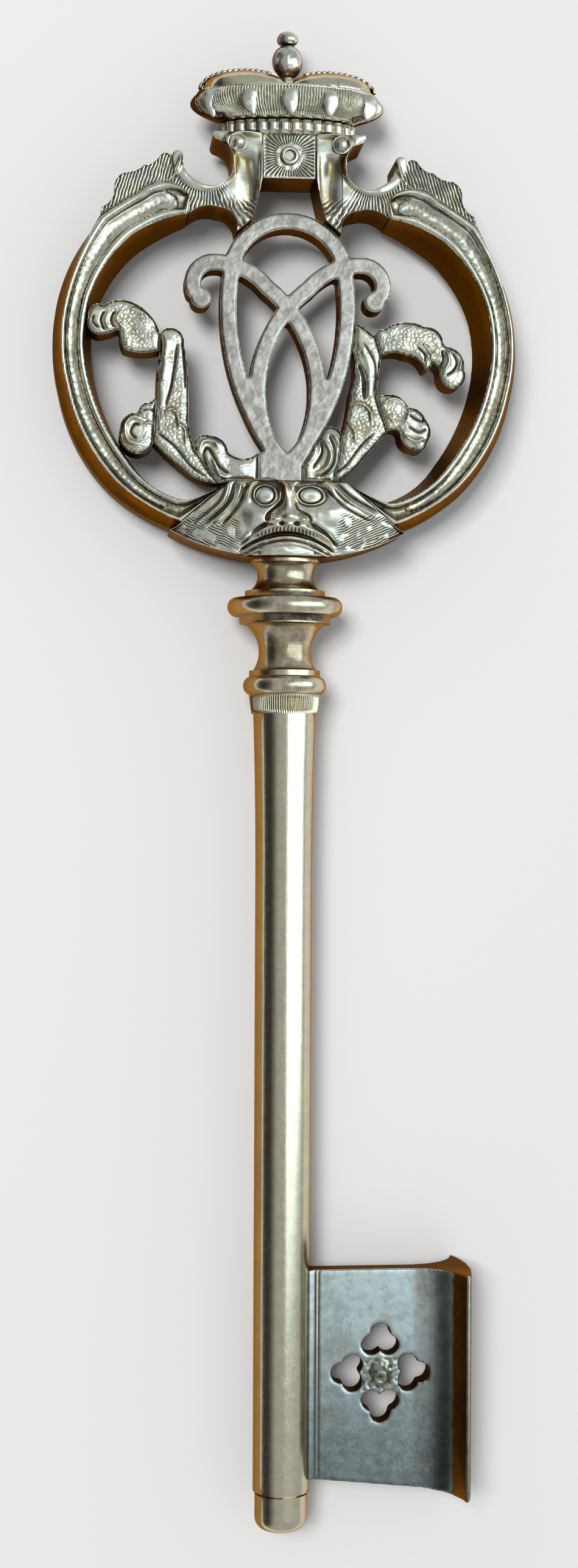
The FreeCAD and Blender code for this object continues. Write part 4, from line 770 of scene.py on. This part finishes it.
def from_spot(places, x, y, half_width, half_height):
    """How far each place is from a spot, in shares of the half size of the spot."""
    return np.hypot((places[:, 0] - x) / half_width, (places[:, 1] - y) / half_height)


def ball(away):
    """1 at the middle and 0 at a distance of 1 and beyond, round like a ball."""
    return np.sqrt(bulge(away, 0, 1))


def mouth_front(places):
    """How far the lips, the teeth between them and the folds under them stand out."""
    away = np.abs(places[:, 0] - MOUTH_X)
    above = places[:, 1] - MOUTH_Y + 0.07 * away * away
    lips = soft_step(5.3 - away, 0, 0.9)
    folds = 0.40 * ridge(above, 0.25, 0.28) - 0.55 * ridge(above, -0.62, 0.15)
    for fold, height in ((-1.0, 0.15), (-1.35, -0.14), (-1.7, 0.14)):
        folds += height * ridge(above, fold, 0.14)
    teeth = ridge(above, -0.2, 0.24) * soft_step(3.4 - away, 0, 0.6)
    return lips * folds + 0.22 * teeth * (1 + strokes(places[:, 0], 0.4))


def face_front(points):
    """How far the face stands above the flat of its block, in metres."""
    places = bow_places(points)
    x, y = places.T
    face = 1.15 - 0.011 * x * x - 0.03 * (y + 17.5) ** 2 + mouth_front(places)
    for *spot, height in FACE_SWELLINGS:
        face += height * ridge(from_spot(places, *spot), 0, 1)
    for eye_x, half_width, half_height in EYES:
        from_eye = from_spot(places, eye_x, EYE_Y, half_width, half_height)
        socket = from_spot(places, eye_x, EYE_Y, 1.35 * half_width, 1.3 * half_height)
        face += 0.85 * ball(from_eye) + 0.3 * ridge(from_eye, 1.2, 0.13) - ridge(socket, 0, 1)
    face += 0.45 * ball(from_spot(places, *CHIN))
    fur = y - 0.45 * np.abs(x) + 0.18 * lumps(points, 1.3 * MM) + 0.05 * lumps(points, 0.4 * MM)
    furry = soft_step(np.abs(x), 4.6, 6.2) * soft_step(-y, 17.2, 18.8)
    furry *= soft_step(lumps(points, 0.9 * MM), -0.35, 0.15)
    face += 0.13 * furry * strokes(fur, 0.27) + 0.04 * lumps(points, 0.8 * MM)
    return face * MM + chased_lines(points, FACE_LINES)


mesh = cast_mesh("mask", voxel=0.17 * MM, cuts=2, reach=2.6 * MM)
points, normals = read_points(mesh), read_normals(mesh)
under_front = BOW_FRONT - points[:, 2]
walls = (np.abs(normals[:, 2]) < 0.4) & (under_front > 0.5 * MM) & (under_front < 2 * MM)
share = soft_step(-under_front, -1.4 * MM, -0.2 * MM)
share *= soft_step(distance_to(points, points[walls]), 0, 0.2 * MM)
points[:, 2] += share * (under_front + face_front(points))
points[:, 2] = np.minimum(points[:, 2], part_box("mask")[1].z)
write_points(mesh, points)
age_and_shade_surface(mesh, hollow_depth=0.02 * MM, broad_depth=0.1 * MM)
place_piece("mask_cast", mesh, cast_metal, "cast_gilt", "mask")


# Plaque and volutes: the cast plaque's face is cut with rays round its ring boss. The
# volutes are cast too, each rounded like a button.
def from_middle_of(node, points):
    """How far points are from the middle of a node to the right, and towards the crown."""
    low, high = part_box(node)
    return (points - (np.array(low) + np.array(high)) / 2).T[:2]


PLAQUE_RAYS = 44  # as many as would go all round
PLAQUE_LOW, PLAQUE_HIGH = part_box("pendant_plaque")
mesh = cast_mesh("pendant_plaque", voxel=0.16 * MM, cuts=2)
points = read_points(mesh)
x, y = from_middle_of("plaque_boss", points)
rays = strokes(np.arctan2(y, x) + 0.06 * lumps(points, 1.5 * MM), 2 * math.pi / PLAQUE_RAYS)
rays *= soft_step(np.hypot(x, y) / MM - 0.35 * lumps(points * (1, 1, 0), 0.5 * MM), 1.35, 1.65)
to_edge = np.minimum(PLAQUE_HIGH.x - np.abs(points[:, 0]), points[:, 1] - PLAQUE_LOW.y)
rays *= soft_step(to_edge, 0.1 * MM, 0.5 * MM)
chase(mesh, 0.2 * MM * rays + 0.05 * MM * lumps(points, 0.6 * MM))
age_and_shade_surface(mesh)
place_piece("plaque", mesh, cast_metal, "cast_gilt", "pendant_plaque")

mesh = cast_mesh("plaque_boss", voxel=0.06 * MM, cuts=0)
age_and_shade_surface(mesh)
place_piece("boss", mesh, cast_metal, "turned_gilt", "plaque_boss")

for side in ("left", "right"):
    node = f"{side}_volute"
    mesh = cast_mesh(node, voxel=0.06 * MM, cuts=0)
    points = read_points(mesh)
    radius = (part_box(node)[1].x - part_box(node)[0].x) / 2
    button = ball(np.hypot(*from_middle_of(node, points)) / radius)
    chase(mesh, 0.8 * MM * (button - 1) + 0.06 * MM * lumps(points, 0.7 * MM))
    age_and_shade_surface(mesh)
    place_piece(f"{side}_volute_cast", mesh, cast_metal, "cast_gilt", node)


# Crown: upright castings. A gadrooned band, a brim of fur with five tails laid on it, a
# cap of two soft lobes, and a roped arch over each lobe.
def share_along(node, points):
    """How far along the key each point is: 0 at the node's foot and 1 at its top."""
    low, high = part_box(node)
    return (points[:, 1] - low.y) / (high.y - low.y)


def deepened(points, factors):
    """Points moved away from the key's axis, or to it, towards the front or the back."""
    depths = factors * (points[:, 2] - AXIS_HEIGHT)
    return np.column_stack([points[:, :2], AXIS_HEIGHT + depths])


mesh = cast_mesh("crown_base", voxel=0.12 * MM, cuts=1, reach=3.5 * MM)
low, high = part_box("crown_base")
points = read_points(mesh)
points += 1.3 * (points - averaged(mesh, points, 60))
points = deepened(points, (high.z - AXIS_HEIGHT) / (points[:, 2].max() - AXIS_HEIGHT))
points = np.clip(points, low, high)
from_middle = np.abs(2 * share_along("crown_base", points) - 1)
write_points(mesh, deepened(points, 1 - 0.09 * soft_step(from_middle, 0.4, 1.0)))
age_and_shade_surface(mesh, rounds=40, hollow_depth=0.06 * MM, upright=True)
place_piece("gadroons", mesh, cast_metal, "cast_gilt", "crown_base")

BRIM_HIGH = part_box("crown_brim")[1]
BRIM_FOOT_DEPTH, BRIM_LIP_DEPTH = 4.25 * MM, 4.85 * MM


def brim_front(points):
    """How far the middle of the brim's straightened front stands from the key's axis."""
    rise = np.clip(share_along("crown_brim", points), 0, 1)
    return BRIM_FOOT_DEPTH + (BRIM_LIP_DEPTH - BRIM_FOOT_DEPTH) * rise


mesh = cast_mesh("crown_brim", voxel=0.16 * MM, cuts=2, reach=4.6 * MM)
points = read_points(mesh)
rise = share_along("crown_brim", points)
levels = np.linspace(0, 1, 25)
depths = [points[np.abs(rise - level) < 0.04, 2].max() - AXIS_HEIGHT for level in levels]
straightened = brim_front(points) / np.interp(rise, levels, depths)
share = soft_step(0.95 - rise, 0, 0.15) * soft_step(rise, -0.02, 0.06)
points = deepened(points, 1 + share * (straightened - 1))
write_points(mesh, points)
depth_share = (points[:, 2] - AXIS_HEIGHT) / (BRIM_HIGH.z - AXIS_HEIGHT)
around = np.arctan2(depth_share, points[:, 0] / BRIM_HIGH.x)
wave = 0.004 * lumps(points, 0.5 * MM) + 0.010 * lumps(points, 1.9 * MM)
fur = strokes(around + wave, 0.032, sharpness=0.8) * (1 + 0.5 * lumps(points, 0.6 * MM))
fur *= soft_step(rise, 0.02, 0.08) * soft_step(0.9 - rise, 0, 0.04)
fur *= soft_step(points[:, 2] - BRIM_HIGH.z, -4.4 * MM, -3.2 * MM)
rim = ridge(rise, 0.94, 0.04) * (1 + 0.4 * strokes(around, 0.075, sharpness=1))
emboss(mesh, MM * (0.19 * fur + 0.15 * rim - 0.15))
age_and_shade_surface(mesh, hollow_depth=0.07 * MM, upright=True)
place_piece("fur_brim", mesh, cast_metal, "cast_gilt", "crown_brim")

TAIL_COUNT = 5
TAILS_LOW, TAILS_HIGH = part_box("brim_tails")
mesh = cast_mesh("brim_tails", voxel=0.1 * MM, cuts=0)
points = read_points(mesh)
rise = share_along("brim_tails", points)
tail_pitch = (TAILS_HIGH.x - TAILS_LOW.x) / TAIL_COUNT
middle = np.round(points[:, 0] / tail_pitch) * tail_pitch
taper = 0.72 + 0.45 * soft_step(rise, 0, 0.5)
lean = 1.2 * (rise - 0.5) ** 2 - 0.15
points[:, 1] -= 0.6 * MM
points[:, 0] = middle + (points[:, 0] - middle) * taper + lean * MM
fur_depth = brim_front(points) * ball(points[:, 0] / BRIM_HIGH.x)
proud = points[:, 2] - AXIS_HEIGHT - fur_depth
points[:, 2] -= 0.45 * np.maximum(proud, 0)
write_points(mesh, points)
emboss(mesh, 0.05 * MM * (lumps(points, 0.7 * MM) - 1))
age_and_shade_surface(mesh, upright=True)
place_piece("tails", mesh, cast_metal, "cast_gilt", "brim_tails")

mesh = cast_mesh("crown_cap", voxel=0.14 * MM, cuts=1, reach=4 * MM)
points = read_points(mesh)
points[:, 1] -= 0.45 * MM * soft_step(1 - share_along("crown_cap", points), 0.7, 1.0)
write_points(mesh, points)
emboss(mesh, 0.05 * MM * (lumps(points, 1.4 * MM) - 1))
age_and_shade_surface(mesh)
place_piece("cap", mesh, turned_metal, "cast_gilt", "crown_cap")

for side, slant in (("left", -0.5), ("right", 0.5)):
    node = f"{side}_cap_arch"
    mesh = cast_mesh(node, voxel=0.09 * MM, cuts=0)
    points = read_points(mesh)
    emboss(mesh, 0.14 * MM * strokes(points[:, 0] + slant * points[:, 2], 0.62 * MM))
    age_and_shade_surface(mesh)
    place_piece(f"{side}_arch", mesh, cast_metal, "cast_gilt", node)


# Bit: a cast plate let into the shank, flared to a rim at its outer edge and pierced with
# four trefoils round a boss. Two lines are cut along its root, and its middle is matted.
BIT_BOSS = (10.83, -65.47)  # the place of its middle, in millimetres
BOSS_RING = 0.64  # the radius of its ring
ROOT_LINES = (3.62, 3.98)  # how far the cut lines are from the key's axis
mesh = cast_mesh("bit_plate", voxel=0.22 * MM, cuts=1, reach=5 * MM)
points = read_points(mesh)
from_axis = points[:, 0] / MM
x, y = (points[:, :2] / MM - BIT_BOSS).T
from_boss = np.hypot(x, y)
matted = soft_step(2.2 - np.maximum(np.abs(x), np.abs(y)), 0, 0.3) * soft_step(from_boss, 0.9, 1.2)
heights = 0.12 * matted * (lumps(points, 0.45 * MM) - 0.6)
heights += 0.18 * ridge(from_boss, BOSS_RING, 0.18) - 0.22 * ridge(from_boss, 0, 0.3)
for root_line in ROOT_LINES:
    heights -= 0.12 * ridge(from_axis, root_line, 0.1)
chase(mesh, MM * (heights + 0.012 * lumps(points, 2.2 * MM, detail=2)))
age_and_shade_surface(mesh)
place_piece("bit", mesh, plate_metal, "bit_gilt", "bit_plate")


# The table: a wide pale sheet that takes the key's soft shadow.
floor_mesh = bpy.data.meshes.new("table")
work = bmesh.new()
bmesh.ops.create_grid(work, x_segments=1, y_segments=1, size=3.0)
work.to_mesh(floor_mesh)
work.free()
floor = bpy.data.objects.new("table", floor_mesh)
scene.collection.objects.link(floor)
paper = Material("paper")
paper.shader.inputs["Base Color"].default_value = (0.84, 0.84, 0.84, 1)
paper.shader.inputs["Roughness"].default_value = 0.9
floor_mesh.materials.append(paper.data)

# Light: a wide cool window up to the right, which shines in the metal, a lamp up to the
# left for the table and the shadow, and a dim room that is dark to the left.
room = bpy.data.worlds.new("room")
room.use_nodes = True
room_nodes = room.node_tree
directions = room_nodes.nodes.new("ShaderNodeTexCoord")
axes = room_nodes.nodes.new("ShaderNodeSeparateXYZ")
room_nodes.links.new(directions.outputs["Generated"], axes.inputs[0])
from_left = room_nodes.nodes.new("ShaderNodeMapRange")
from_left.interpolation_type = "SMOOTHSTEP"
from_left.inputs["From Min"].default_value = -0.85
from_left.inputs["From Max"].default_value = -0.4
room_nodes.links.new(axes.outputs["X"], from_left.inputs["Value"])
DARK_WALL, DIM_ROOM = (0.04, 0.037, 0.033, 1), (0.46, 0.475, 0.48, 1)
shade = room_nodes.nodes.new("ShaderNodeMix")
shade.data_type = "RGBA"
shade.inputs[6].default_value = DARK_WALL
shade.inputs[7].default_value = DIM_ROOM
room_nodes.links.new(from_left.outputs[0], shade.inputs[0])
room_nodes.links.new(shade.outputs[2], room_nodes.nodes["Background"].inputs["Color"])
scene.world = room


def area_lamp(name, place, width, height, watts, colour):
    """A flat lamp at a place, turned to the middle of the key."""
    data = bpy.data.lights.new(name, "AREA")
    data.shape = "RECTANGLE"
    data.size = width
    data.size_y = height
    data.energy = watts
    data.color = colour
    lamp = bpy.data.objects.new(name, data)
    scene.collection.objects.link(lamp)
    lamp.location = place
    lamp.rotation_euler = (-lamp.location).to_track_quat("-Z", "Y").to_euler()
    return lamp


window = area_lamp("window", Vector((390, 60, 430)) * MM, 0.44, 0.80, 2.1, (0.76, 0.93, 1.0))
window.visible_diffuse = False
lamp = area_lamp("lamp", Vector((-300, 220, 1120)) * MM, 0.34, 0.34, 8.9, (1.0, 0.985, 0.975))
lamp.visible_glossy = False
